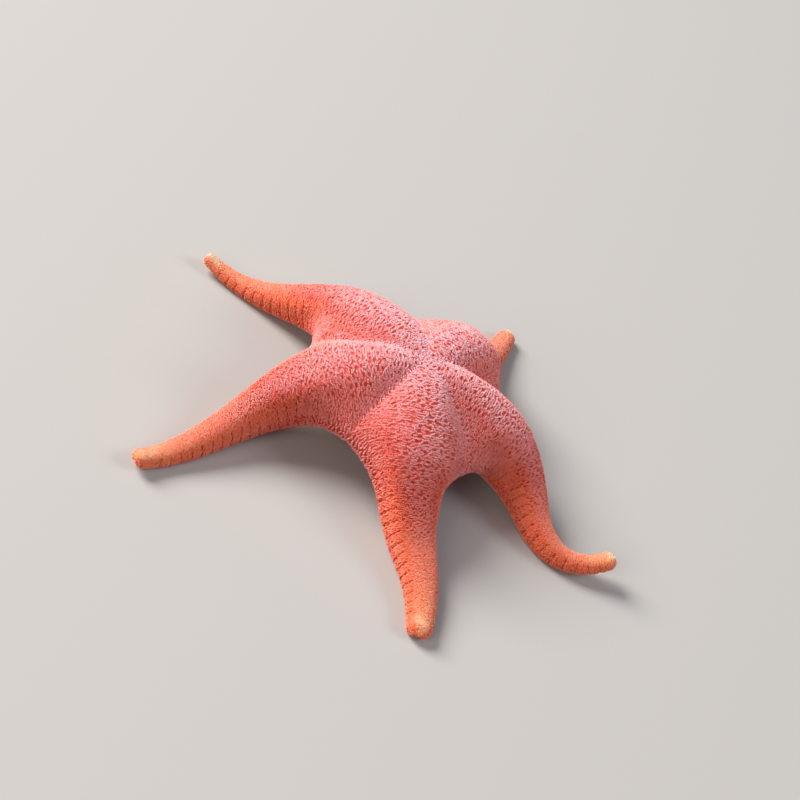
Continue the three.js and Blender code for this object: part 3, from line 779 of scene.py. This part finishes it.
# %% Rows of the lattice
ROW_PITCH, SLIT_PITCH = 0.43, 2.0
FINEST, FINER_FROM, FINER_OVER = 0.66, 0.35, 0.35
ROW_SHIFT, SIDE_SHIFT = 0.05, 0.12
SLITS_FROM, SLITS_UNTIL, SLITS_WITHIN, SLITS_OPEN = 1.5, 0.62, 0.76, 0.62
EDGE_SPACE = 0.2
MIXED_ROW, TUFT_ROW, PAIR_SHIFT = {"slit": [0], "tuft": [0.5]}, {"tuft": [0.25, 0.75]}, 0.5
COARSENESS = {1: 1.0, -1: 1.3}
FINE = np.sin(np.pi / 2 * np.linspace(-1, 1, 241))
SEED = 7
rng = np.random.default_rng(SEED)


def fineness(along):
    """Size of the pattern: 1 on the disc, two thirds on the outer half of an arm."""
    return mix(1.0, FINEST, smooth((along - FINER_FROM) / FINER_OVER))


def rows_across(name, sheet):
    """Distances x of the rows, closer together where the pattern is finer."""
    length, pitch = ARMS[name]["length"], ROW_PITCH * COARSENESS[sheet]
    x = [pitch]
    while x[-1] < length - ROW_PITCH:
        x.append(x[-1] + pitch * fineness(x[-1] / length))
    return np.array(x)


def lengths_across(name, x_rows, sheet):
    """For each row the length over the skin, from the arm's middle, at which each t of FINE is reached."""
    grid = np.broadcast_to(x_rows[:, None], (len(x_rows), len(FINE)))
    line = surface(name, grid, np.broadcast_to(FINE, grid.shape), sheet)
    reach = np.cumsum(np.linalg.norm(np.diff(line, axis=1, prepend=line[:, :1]), axis=2), axis=1)
    return reach - reach[:, [len(FINE) // 2]]


print("rows on the front arm:", len(rows_across("front", 1)))

# %% [markdown]
# ## Seats along the rows
# A row is measured over the skin as with a tape, because steps that are even in t would crowd on the
# steep sides. It then holds a whole number of steps, so that both of its edges end with a tuft. The gills
# of a real star open here and there, so some of the slits stay closed, with a tuft in their place.

# %% Seats of tufts and slits
def lattice(name, sheet):
    """Places (x, t) of the tufts and of the slits. Steps across a row are measured over the skin, and
    turned to t by looking up where along the row that length is reached. A row holds a whole number of
    steps, so that each edge has its tufts; those of a crease belong to the arm on its right. Where a
    slit is closed, or on the flanks, the outer arms and the underside, a tuft fills its place."""
    x_rows = rows_across(name, sheet)
    first_edge = axil_x(ARMS[name]["right"])
    found = {"tuft": [], "slit": []}
    for number, (x, across) in enumerate(zip(x_rows, lengths_across(name, x_rows, sheet))):
        pitch = SLIT_PITCH * COARSENESS[sheet] * fineness(x / ARMS[name]["length"])
        width = across[-1] - across[0]
        steps = np.arange(-1, round(width / pitch) + 1) + PAIR_SHIFT * (number // 2 % 2)
        pitch = width / max(round(width / pitch), 1)
        for kind, shares in (TUFT_ROW if number % 2 else MIXED_ROW).items():
            seats = across[0] + np.concatenate([steps + share for share in shares]) * pitch
            seats = seats[(seats > across[0] - EDGE_SPACE) & (seats < across[-1] + EDGE_SPACE)]
            inside = (seats > across[0] + EDGE_SPACE) & (seats < across[-1] - EDGE_SPACE)
            seats = np.where(inside, seats + rng.normal(0, SIDE_SHIFT, len(seats)), seats)
            seats = seats[inside | (sheet > 0) & ((x > first_edge) | (seats > 0))]
            places = x + rng.normal(0, ROW_SHIFT, len(seats))
            found[kind].append(np.stack([places, np.interp(seats, across, FINE)]))
    tufts, slits = (np.concatenate(found[kind], axis=1) for kind in ("tuft", "slit"))
    share, off = slits[0] / ARMS[name]["length"], np.abs(slits[1])
    is_open = (off < SLITS_WITHIN) & (share < SLITS_UNTIL) & (slits[0] > SLITS_FROM) & (sheet > 0)
    is_open &= rng.uniform(0, 1, len(off)) < SLITS_OPEN
    return np.concatenate([tufts, slits[:, ~is_open]], axis=1), slits[:, is_open]


def seats_on(name, x, t, sheet, dx=0.05, dt=0.001):
    """For each place the outer point and the directions across the arm, along it and outwards, from the
    steps dx along the arm and dt across it."""
    low, high = np.clip(t - dt, -1, 1), np.clip(t + dt, -1, 1)
    along = surface(name, x + dx, t, sheet) - surface(name, x - dx, t, sheet)
    across = surface(name, x, high, sheet) - surface(name, x, low, sheet)
    out = np.cross(along, across) * sheet
    across, out = unit(across), unit(out)
    return surface(name, x, t, sheet), across, np.cross(across, out), out


print("steps between looked-up lengths across a row:", len(FINE) - 1)

# %% [markdown]
# ## Spinelets
# A spinelet is a blunt lime peg a quarter of a millimetre thick. Thousands of them could be drawn as a
# bump pattern, but at the outline they show as a pale fringe, so they are made as real pegs. One peg
# has three sides, because it is about as small as a point of the picture. Seven pegs make a tuft. On
# the outer arms and underneath, where tufts are smaller still, four thicker ones do. All the pegs of a
# mesh are made at once, by adding every tuft's place to every peg's own shift.

# %% Pegs as arrays
PEG_LEVELS = np.array([0.0, 0.62, 1.0])
PEG_WIDTHS = np.array([1.0, 1.15, 0.85])
PEG_ANGLES = 2 * np.pi * np.arange(3) / 3


def ring_faces(count, levels, corners):
    """Triangles of that many stacks of rings: a band between each ring and the next, with two triangles
    to a corner, and a lid on the last."""
    j = np.arange(corners)
    after = (j + 1) % corners
    band = np.concatenate([np.stack([j, after, after + corners], -1),
                           np.stack([j, after + corners, j + corners], -1)])
    lid = np.stack([0 * j[2:], j[1:-1], j[2:]], -1)
    top = corners * (levels - 1)
    one = np.concatenate([band + start for start in range(0, top, corners)] + [lid + top])
    return (corners * levels * np.arange(count)[:, None, None] + one).reshape(-1, 3)


def peg_mesh(root, tip, side_a, side_b, radius, levels=PEG_LEVELS, widths=PEG_WIDTHS, angles=PEG_ANGLES):
    """Points (pegs, levels, corners, xyz) and triangles of pegs: rings at these levels between root (0)
    and tip (1), whose radii are widths times radius. The tip is closed, and the root, inside the flesh,
    is open."""
    level = levels[:, None, None]
    centre = root[:, None, None] + level * (tip - root)[:, None, None]
    width = radius[:, None, None, None] * widths[:, None, None]
    spin = rng.uniform(0, 2 * np.pi, (len(root), 1, 1, 1)) + angles[:, None]
    points = centre + width * (np.cos(spin) * side_a[:, None, None] + np.sin(spin) * side_b[:, None, None])
    return points, ring_faces(len(root), len(levels), len(angles))


print("triangles in a peg:", len(ring_faces(1, len(PEG_LEVELS), len(PEG_ANGLES))))

# %% [markdown]
# ## Tufts
# No two tufts of a living animal are alike. So each is turned, stretched and loosened a little at random,
# and its pegs lean apart and differ in height, as the bristles of a worn brush do.

# %% Tufts of pegs
FULL_TUFT = np.array([(-1.0, -0.3), (-0.66, 0.6), (-0.33, -0.6), (0.0, 0.5), (0.33, -0.6), (0.66, 0.6),
                      (1.0, -0.3)])
SMALL_TUFT = np.array([(-0.9, -0.4), (-0.3, 0.5), (0.3, -0.5), (0.9, 0.4)])
SMALL_TUFT_PEG, SMALLEST_PEG = 1.3, 0.6
TUFT_LENGTH, TUFT_THICKNESS, PEG_RADIUS = 0.33, 0.12, 0.13
LEAN, TURN, LOOSENESS = 0.3, 0.32, 0.03
TUFT_SIZES, PEG_HEIGHTS, ROOT_DEPTH = (0.8, 1.2), (0.6, 1.0), 1.06


def tuft_pegs(middle, across, along, out, size, depth, sunk, tuft):
    """Roots, tips, directions and radii of every peg of every tuft. A tuft is a short double row across
    the arm, turned a little at random, whose pegs lean apart."""
    count, pegs = len(middle), len(tuft)
    turn = rng.normal(0, TURN, (count, 1))
    scale = (size * rng.uniform(*TUFT_SIZES, count))[:, None]
    a = scale * (TUFT_LENGTH * tuft[:, 0] * np.cos(turn) - TUFT_THICKNESS * tuft[:, 1] * np.sin(turn))
    b = scale * (TUFT_LENGTH * tuft[:, 0] * np.sin(turn) + TUFT_THICKNESS * tuft[:, 1] * np.cos(turn))
    a, b = a + rng.normal(0, LOOSENESS, a.shape), b + rng.normal(0, LOOSENESS, b.shape)
    tall = depth[:, None] * rng.uniform(*PEG_HEIGHTS, (count, pegs))
    foot = middle - out * (ROOT_DEPTH * depth + sunk)[:, None]
    step = a[..., None] * across[:, None] + b[..., None] * along[:, None]
    root = foot[:, None] + step
    tip = root + LEAN * step + tall[..., None] * out[:, None]
    sides = (np.repeat(v, pegs, axis=0) for v in (across, along))
    radius = PEG_RADIUS * mix(SMALLEST_PEG, 1.0, size) * (1.0 if tuft is FULL_TUFT else SMALL_TUFT_PEG)
    return root.reshape(-1, 3), tip.reshape(-1, 3), *sides, np.repeat(radius, pegs)


print("pegs in a tuft:", len(FULL_TUFT), "and on the outer arms", len(SMALL_TUFT))

# %% [markdown]
# ## Gill slits
# A slit is a small soft opening, dark because little light comes back out of it. It could be cut into the
# skin, but at this size an oval that lies on the skin looks the same: its rim has the skin's colour and
# its middle is a painted shade.

# %% Slits as arrays
SLIT_LENGTH, SLIT_WIDTH, SLIT_HOLE, SLIT_STEP = 0.54, 0.18, 0.72, 0.03
SLIT_ANGLES = 2 * np.pi * np.arange(8) / 8


def slit_mesh(middle, across, along, out, size):
    """Points (slits, rings, corners, xyz) and triangles of flat ovals: an outer ring at the skin's
    colour, and inside it one of painted shade, a hair above the skin."""
    ring = np.stack([np.cos(SLIT_ANGLES), np.sin(SLIT_ANGLES)], -1)
    spread = np.array([1.0, SLIT_HOLE])[:, None] * size[:, None, None]
    a = SLIT_LENGTH * spread * ring[:, 0]
    b = SLIT_WIDTH * spread * ring[:, 1]
    lift = np.array([0.0, SLIT_STEP])[:, None, None]
    points = (middle[:, None, None] + a[..., None] * across[:, None, None]
              + b[..., None] * along[:, None, None] + lift * out[:, None, None])
    return points, ring_faces(len(middle), len(lift), len(SLIT_ANGLES))


print("triangles in a slit:", len(ring_faces(1, 2, len(SLIT_ANGLES))))

# %% [markdown]
# ## The spinelets' finish
# A spinelet is chalky lime under a film of living skin, so it is skin-coloured at the foot and pale at
# the blunt end. A separate material for feet and ends would need twice the pieces. One material reads
# the height stored on the mesh instead, and mixes the two colours by it.

# %% Spinelets: chalky points under a film of skin
RAISED_BY, FAINTEST_TUFT = 0.6, 0.45


def spinelet_material():
    """Lime pegs under a film of skin: skin-coloured at the foot and pale at the blunt end, each tuft
    a little different. Slits are stored as heights below 0 and get a painted shade. Sheen stands for the
    finest points, which are too small to build and catch the light at a grazing angle."""
    material, tree, shader = new_material(
        "lime_spinelets", Roughness=0.5, Specular_IOR_Level=0.6, Sheen_Weight=0.55, Sheen_Roughness=0.3,
        Sheen_Tint=linear("#F0E8FF"), Subsurface_Weight=0.5, Subsurface_Radius=(1.0, 0.4, 0.3),
        Subsurface_Scale=0.35 * MM)
    height = add(tree, "Attribute", out="Fac", attribute_name="height")
    tone = add(tree, "Attribute", out="Fac", attribute_name="tone")
    foot = markings(tree, SKIN_COLOURS, FLANK_SKIN, BELLY_SKIN)
    point = markings(tree, POINT_COLOURS, FLANK_POINTS, BELLY_POINTS)
    raised = add(tree, "MapRange", {0: height, 1: 0.0, 2: RAISED_BY, 3: 0.0, 4: 1.0})
    strength = add(tree, "MapRange", {0: tone, 1: 0.0, 2: 1.0, 3: FAINTEST_TUFT, 4: 1.0})
    share = add(tree, "Math", {0: raised, 1: strength}, operation="MULTIPLY")
    # painted sheen: where the skin faces up, the points are mixed towards a pale pink, as if lit by the sky
    bloom = add(tree, "Attribute", out="Fac", attribute_name="bloom")
    point = add(tree, "Mix", {0: bloom, 6: point, 7: linear(PAINTED_SHEEN_COLOUR)}, out=2, data_type="RGBA")
    colour = add(tree, "Mix", {0: share, 6: foot, 7: point}, out=2, data_type="RGBA")
    # painted shade in the slits' inner rings
    dark = add(tree, "Math", {0: height, 1: -1.0}, operation="MULTIPLY", use_clamp=True)
    final = add(tree, "Mix", {0: dark, 6: colour, 7: linear(PAINTED_SLIT_SHADE)}, out=2, data_type="RGBA")
    tree.links.new(final, shader.inputs["Base Color"])
    return material


spinelet_lime = spinelet_material()
print("spinelet material:", len(spinelet_lime.node_tree.nodes), "nodes")

# %% [markdown]
# ## The coat of each arm
# Now the pieces are put together: each arm has a coat for the inner back, one for the outer back and
# one for the underside. Slits are only on the back. Tufts stay out of the bottom of the notches between
# edge plates, and on the underside out of the groove and the mouth. A UV map named OFBake lays every
# tuft on its own small patch, at its root's place on the arm laid flat, so that the coat's colours can
# be painted onto a picture later.

# %% Room and numbers on a coat
PATCH, MAP_MIDDLE, MAP_REACH = 0.003, 0.5, 0.49
DEEPEST_NOTCH, MOUTH_CLEARANCE, GROOVE_CLEARANCE = 0.85, 3.6, 0.25
# where the skin faces up, tufts get painted sheen, which fades out along the arm
PAINTED_SHEEN_UP_FROM, PAINTED_SHEEN_UP_REACH, PAINTED_SHEEN_FADES_FROM, PAINTED_SHEEN_FADES_OVER = 0.68, 0.29, 0.42, 0.28


def clear_of_hollows(name, x, t, sheet):
    """True where a tuft may stand."""
    free = notch(name, x, t, sheet) < DEEPEST_NOTCH
    if sheet > 0:
        return free
    inner = widths_beside(ARMS[name], x, t)[1]
    off_middle = np.abs(t) * inner
    beside_groove = off_middle > groove_half(inner) + GROOVE_CLEARANCE
    return free & beside_groove & (np.hypot(x, off_middle) > MOUTH_CLEARANCE)


def flat_values(shape, *values):
    """Each value spread over the corners of an array of that shape and laid out in one row."""
    return [np.broadcast_to(value, shape).reshape(-1) for value in values]


def place_on(name, x, t, sheet, shape):
    """The markings' numbers of each tuft or slit, ready to be spread over its corners: how far along,
    flank and underside."""
    values = x / ARMS[name]["length"], flank(name, x, t, sheet), under(name, x, t, sheet)
    return [np.repeat(value, shape[0] // len(x))[:, None, None] for value in values]


def bloom_on(share, out):
    """How much painted sheen a tuft has, a pale pink standing for sky light on skin that faces up: most
    where the skin faces up on the disc, less than a fifth of that on the outer arms, and none where it is
    steep."""
    faces_up = smooth((out[:, 2] - PAINTED_SHEEN_UP_FROM) / PAINTED_SHEEN_UP_REACH)
    return PAINTED_SHEEN * faces_up * mix(1.0, PAINTED_SHEEN_ON_ARMS, smooth((share - PAINTED_SHEEN_FADES_FROM) / PAINTED_SHEEN_FADES_OVER))


def on_map(along, t, aside, above):
    """Place u, v on the bake map: the arm laid flat, and a shift within the patch in shares of its size."""
    return along + PATCH * aside, MAP_MIDDLE + MAP_REACH * t + PATCH * above


print("patches of the bake map across its width:", round(1 / PATCH))

# %% [markdown]
# ## Tufts and slits of one side
# Both are a mesh of many small copies. Blender could instance one tuft on points, but instances can't
# each have their own colours and shape, and the coat has to be one solid mesh. So each copy's numbers
# are spread over its corners and stored with the mesh.

# %% Parts of a coat
FRINGE, AT_EDGE, SLIT_LIFT, FLOOR_CLEARANCE, TIP_CLEARANCE = 1.15, 0.999, 0.03, 0.01, 0.05
# the first number says how much a notch's tufts lose their pale points, as painted shade
NOTCH_SHADE, MIDDLE_TONE, OUTLINE_FLANK = 0.8, 0.5, 0.5
SLITS_SHRINK_FROM, SLITS_SHRINK_BY, SLIT_SIZES = 0.45, 0.6, (0.8, 1.3)


def tuft_part(name, x, t, sheet, tuft):
    """Points, triangles and stored numbers of an arm's tufts on one side. Height runs from 0 at a peg's
    foot to 1 at its end; tone is a random number per tuft, 1 on the edge, lowered in a notch as painted
    shade."""
    share, hollow = x / ARMS[name]["length"], notch(name, x, t, sheet)
    at_edge = np.abs(t) > AT_EDGE
    outlined = at_edge & (flank(name, x, t, sheet) > OUTLINE_FLANK)
    depth = coat_depth(share) * np.where(outlined, FRINGE, 1.0)
    seats = seats_on(name, x, t, sheet)
    pegs, faces = peg_mesh(*tuft_pegs(*seats, fineness(share), depth, NOTCH_DEPTH * hollow, tuft))
    shape = pegs.shape[:3]
    along, side, belly = place_on(name, x, t, sheet, shape)
    tone = np.where(at_edge, 1, rng.uniform(0, 1, len(x))) * (1 - NOTCH_SHADE * hollow)
    tone, bloom, t = (np.repeat(value, len(tuft))[:, None, None]
                      for value in (tone, bloom_on(share, seats[3]), t))
    u, v = on_map(along, t, PEG_ANGLES / (2 * np.pi) - 1 / 3, PEG_LEVELS[:, None] - 1 / 2)
    return (pegs.reshape(-1, 3), faces,
            flat_values(shape, along, side, belly, PEG_LEVELS[:, None], tone, bloom, u, v))


def slit_part(name, x, t, sheet):
    """The same for the slits: their inner ring has a height of -1, which the material paints as shade."""
    share = x / ARMS[name]["length"]
    middle, across, along_arm, out = seats_on(name, x, t, sheet)
    middle = middle - out * (coat_depth(share) - SLIT_LIFT)[:, None]
    outwards = smooth((share - SLITS_SHRINK_FROM) / (SLITS_UNTIL - SLITS_SHRINK_FROM))
    size = (1 - SLITS_SHRINK_BY * outwards) * rng.uniform(*SLIT_SIZES, len(x))
    ovals, faces = slit_mesh(middle, across, along_arm, out, size)
    shape = ovals.shape[:3]
    along, side, belly = place_on(name, x, t, sheet, shape)
    u, v = on_map(along, t[:, None, None], np.cos(SLIT_ANGLES) / 2, np.sin(SLIT_ANGLES) / 2)
    return (ovals.reshape(-1, 3), faces,
            flat_values(shape, along, side, belly, np.array([[0.0], [-1.0]]), MIDDLE_TONE, 0.0, u, v))


print("edge tufts stand", round(coat_depth(1.0) * FRINGE, 2), "mm high near a tip")

# %% [markdown]
# ## Making the coats
# One coat over the whole star would be a single huge mesh. Three to an arm keep each one small enough
# to handle, and let the outer back and the underside use the smaller tuft. All of them stand on one
# lattice for each side of an arm, so the seam between inner and outer back doesn't show.

# %% Make the coats
OUTER_FROM = 0.46


def coat(name, label, sheet, tufts, slits, tuft):
    """One mesh of the tufts and slits at these places, and its number of triangles."""
    x, t = tufts[:, (tufts[0] < ARMS[name]["length"] - TIP_CLEARANCE) & clear_of_hollows(name, *tufts, sheet)]
    parts = [tuft_part(name, x, t, sheet, tuft)]
    if slits.size:
        parts.append(slit_part(name, *slits, sheet))
    points, faces, (along, side, belly, height, tone, bloom, u, v) = joined(parts)
    points[:, 2] = np.maximum(points[:, 2], FLOOR_CLEARANCE)
    piece = mesh_object(f"spinelets_{name}_{label}", in_metres(points), faces, spinelet_lime)
    give(piece, along=along, flank=side, belly=belly, height=height, tone=tone, bloom=bloom)
    give_uv(piece, "OFBake", np.stack([u, v], -1))
    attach(piece, "root")
    return len(faces)


for name in NAMES:
    tufts, slits = lattice(name, 1)
    inner = tufts[0] < OUTER_FROM * ARMS[name]["length"]
    under_tufts, no_slits = lattice(name, -1)
    print(name, "triangles:", coat(name, "inner", 1, tufts[:, inner], slits, FULL_TUFT),
          coat(name, "outer", 1, tufts[:, ~inner], no_slits, SMALL_TUFT),
          coat(name, "belly", -1, under_tufts, no_slits, SMALL_TUFT))

# %% [markdown]
# ## Tube feet
# A star walks on hundreds of tube feet, soft water-filled tubes that end in a sucker. They stand in two
# rows in the groove under each arm, drawn in when the animal clings. One could be modelled and copied,
# but the peg builder already makes tubes, so it gets more corners, a wider last ring for the sucker,
# and places in the groove, where the rows take turns like footprints.

# %% Two rows of feet in every groove
FOOT_PITCH, FOOT_ROW, FOOT_RADIUS, FOOT_END = 0.85, 0.42, 0.24, 0.9
FIRST_FOOT, LAST_FOOT = 4.5, 2.5
FOOT_STEPS, FOOT_REACHES = (0.5, 0.15), (0.85, 1.0)
FOOT_LEVELS, FOOT_WIDTHS = np.array([0.0, 0.7, 0.84, 1.0]), np.array([0.9, 0.75, 1.15, 1.0])
FOOT_ANGLES = 2 * np.pi * np.arange(7) / 7


def feet_of(name):
    """Points, triangles and heights of one arm's feet, in two rows beside the groove's middle. Each
    runs from a coat's depth behind the groove's wall to nearly the whole depth of the groove."""
    arm = ARMS[name]
    x = np.arange(FIRST_FOOT, arm["length"] - LAST_FOOT, FOOT_PITCH / 2)
    row = np.where(np.arange(len(x)) % 2 == 0, FOOT_ROW, -FOOT_ROW)
    middle, across, along, out = seats_on(name, x, np.zeros(len(x)), -1, *FOOT_STEPS)
    half = groove_half(half_widths(arm, arm["right"], x)[1])
    deep = groove_depth(arm, x)
    place = middle + across * (row * half)[:, None]
    root = place + out * (FOOT_ROW * deep - coat_depth(x / arm["length"]))[:, None]
    tip = place + out * (FOOT_END * deep * rng.uniform(*FOOT_REACHES, len(x)))[:, None]
    points, faces = peg_mesh(root, tip, across, along, FOOT_RADIUS * half, FOOT_LEVELS, FOOT_WIDTHS,
                             FOOT_ANGLES)
    return points.reshape(-1, 3), faces, flat_values(points.shape[:3], FOOT_LEVELS[:, None])


points, faces, (foot_height,) = joined([feet_of(name) for name in NAMES])
points[:, 2] = np.maximum(points[:, 2], FLOOR_CLEARANCE)
print("tube feet:", len(faces), "triangles")

# %% [markdown]
# ## The feet's finish
# A tube foot is a wet, water-filled tube, so light shines into it: orange at the root and pale yellow at
# the sucker. The height stored on the mesh mixes the two, and a soft noise keeps the feet from looking
# alike.

# %% Tube feet: soft wet tubes
FOOT_COLOURS, FOOT_MOTTLE = ("#EE8A54", "#FFDDA8"), 0.2


def foot_material():
    """Soft wet tubes: orange and a little see-through at the root, pale yellow at the sucker."""
    material, tree, shader = new_material(
        "soft_wet_tube_feet", Roughness=0.3, Specular_IOR_Level=0.5, Subsurface_Weight=0.6,
        Subsurface_Radius=(1.0, 0.5, 0.3), Subsurface_Scale=0.5 * MM)
    place = add(tree, "TexCoord", out="Object")
    height = add(tree, "Attribute", out="Fac", attribute_name="height")
    mottle = add(tree, "TexNoise", {"Vector": place, "Scale": 1 / BLOTCH_SIZE, "Detail": 2.0})
    shift = add(tree, "MapRange", {0: mottle, 1: NOISE_LOW, 2: NOISE_HIGH, 3: -FOOT_MOTTLE, 4: FOOT_MOTTLE})
    share = add(tree, "Math", {0: height, 1: shift}, operation="ADD", use_clamp=True)
    root, sucker = (linear(hex_colour) for hex_colour in FOOT_COLOURS)
    colour = add(tree, "Mix", {0: share, 6: root, 7: sucker}, out=2, data_type="RGBA")
    tree.links.new(colour, shader.inputs["Base Color"])
    return material


feet = mesh_object("tube_feet", in_metres(points), faces, foot_material())
give(feet, height=foot_height)
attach(feet, "root")
print("finish of the feet:", feet.data.materials[0].name)

# %% [markdown]
# ## Mouth and sieve plate
# Two hard or bare parts keep their measured solids and only get a finish: the mouth's ring of plates
# on the underside, and the sieve plate on the back, a small chalky disc with fine wandering furrows
# through which the animal draws water. The furrows are too fine to be worth geometry, so they are a
# bump: Blender's wave texture, bent by its own noise.

# %% Finish of the sieve plate
SIEVE_FURROW, SIEVE_RELIEF = 0.22 * MM, 0.1 * MM
WAVE_REPEAT = 0.314  # a wave texture of scale 1 repeats after this length
SIEVE_COLOURS = "#C8705E", "#EEAA9A"


def sieve_material():
    """Chalky lime, smooth and pale, cut by furrows: a noise-bent wave a fifth of a millimetre apart."""
    material, tree, shader = new_material("chalky_sieve_plate", Roughness=0.7)
    place = add(tree, "TexCoord", out="Object")
    furrows = add(tree, "TexWave", {"Vector": place, "Scale": WAVE_REPEAT / SIEVE_FURROW, "Distortion": 9.0,
                                    "Detail": 1.0, "Detail Scale": 0.3}, out="Fac")
    low, high = (linear(hex_colour) for hex_colour in SIEVE_COLOURS)
    colour = add(tree, "Mix", {0: furrows, 6: low, 7: high}, out=2, data_type="RGBA")
    bump = add(tree, "Bump", {"Height": furrows, "Strength": 0.7, "Distance": SIEVE_RELIEF})
    tree.links.new(colour, shader.inputs["Base Color"])
    tree.links.new(bump, shader.inputs["Normal"])
    return material


sieve_lime = sieve_material()
print("furrows of the sieve plate, mm apart:", round(SIEVE_FURROW / MM, 2))

# %% [markdown]
# ## The mouth's finish
# Round the mouth the skin is bare and wrinkled like the lips of a purse. The wrinkles are half a
# millimetre wide and are only seen from below, so a noise makes them in the material.

# %% Finish of the mouth
WRINKLE_SIZE, WRINKLE_DEPTH = 0.6 * MM, 0.15 * MM
MOUTH_COLOURS = "#C8643E", "#F4B888"


def mouth_material():
    """Soft bare skin round the mouth: pale orange, darker in small wrinkles."""
    material, tree, shader = new_material("bare_mouth_skin", Roughness=0.45, Subsurface_Weight=0.2,
                                          Subsurface_Radius=(1.0, 0.4, 0.25), Subsurface_Scale=0.8 * MM)
    place = add(tree, "TexCoord", out="Object")
    wrinkles = add(tree, "TexNoise", {"Vector": place, "Scale": 1 / WRINKLE_SIZE, "Detail": 3.0})
    low, high = (linear(hex_colour) for hex_colour in MOUTH_COLOURS)
    colour = add(tree, "Mix", {0: wrinkles, 6: low, 7: high}, out=2, data_type="RGBA")
    bump = add(tree, "Bump", {"Height": wrinkles, "Strength": 0.6, "Distance": WRINKLE_DEPTH})
    tree.links.new(colour, shader.inputs["Base Color"])
    tree.links.new(bump, shader.inputs["Normal"])
    return material


for node, material in (("madreporite", sieve_lime), ("mouth", mouth_material())):
    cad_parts[node].data.materials.clear()
    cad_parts[node].data.materials.append(material)
print("finished as they are: madreporite, mouth")
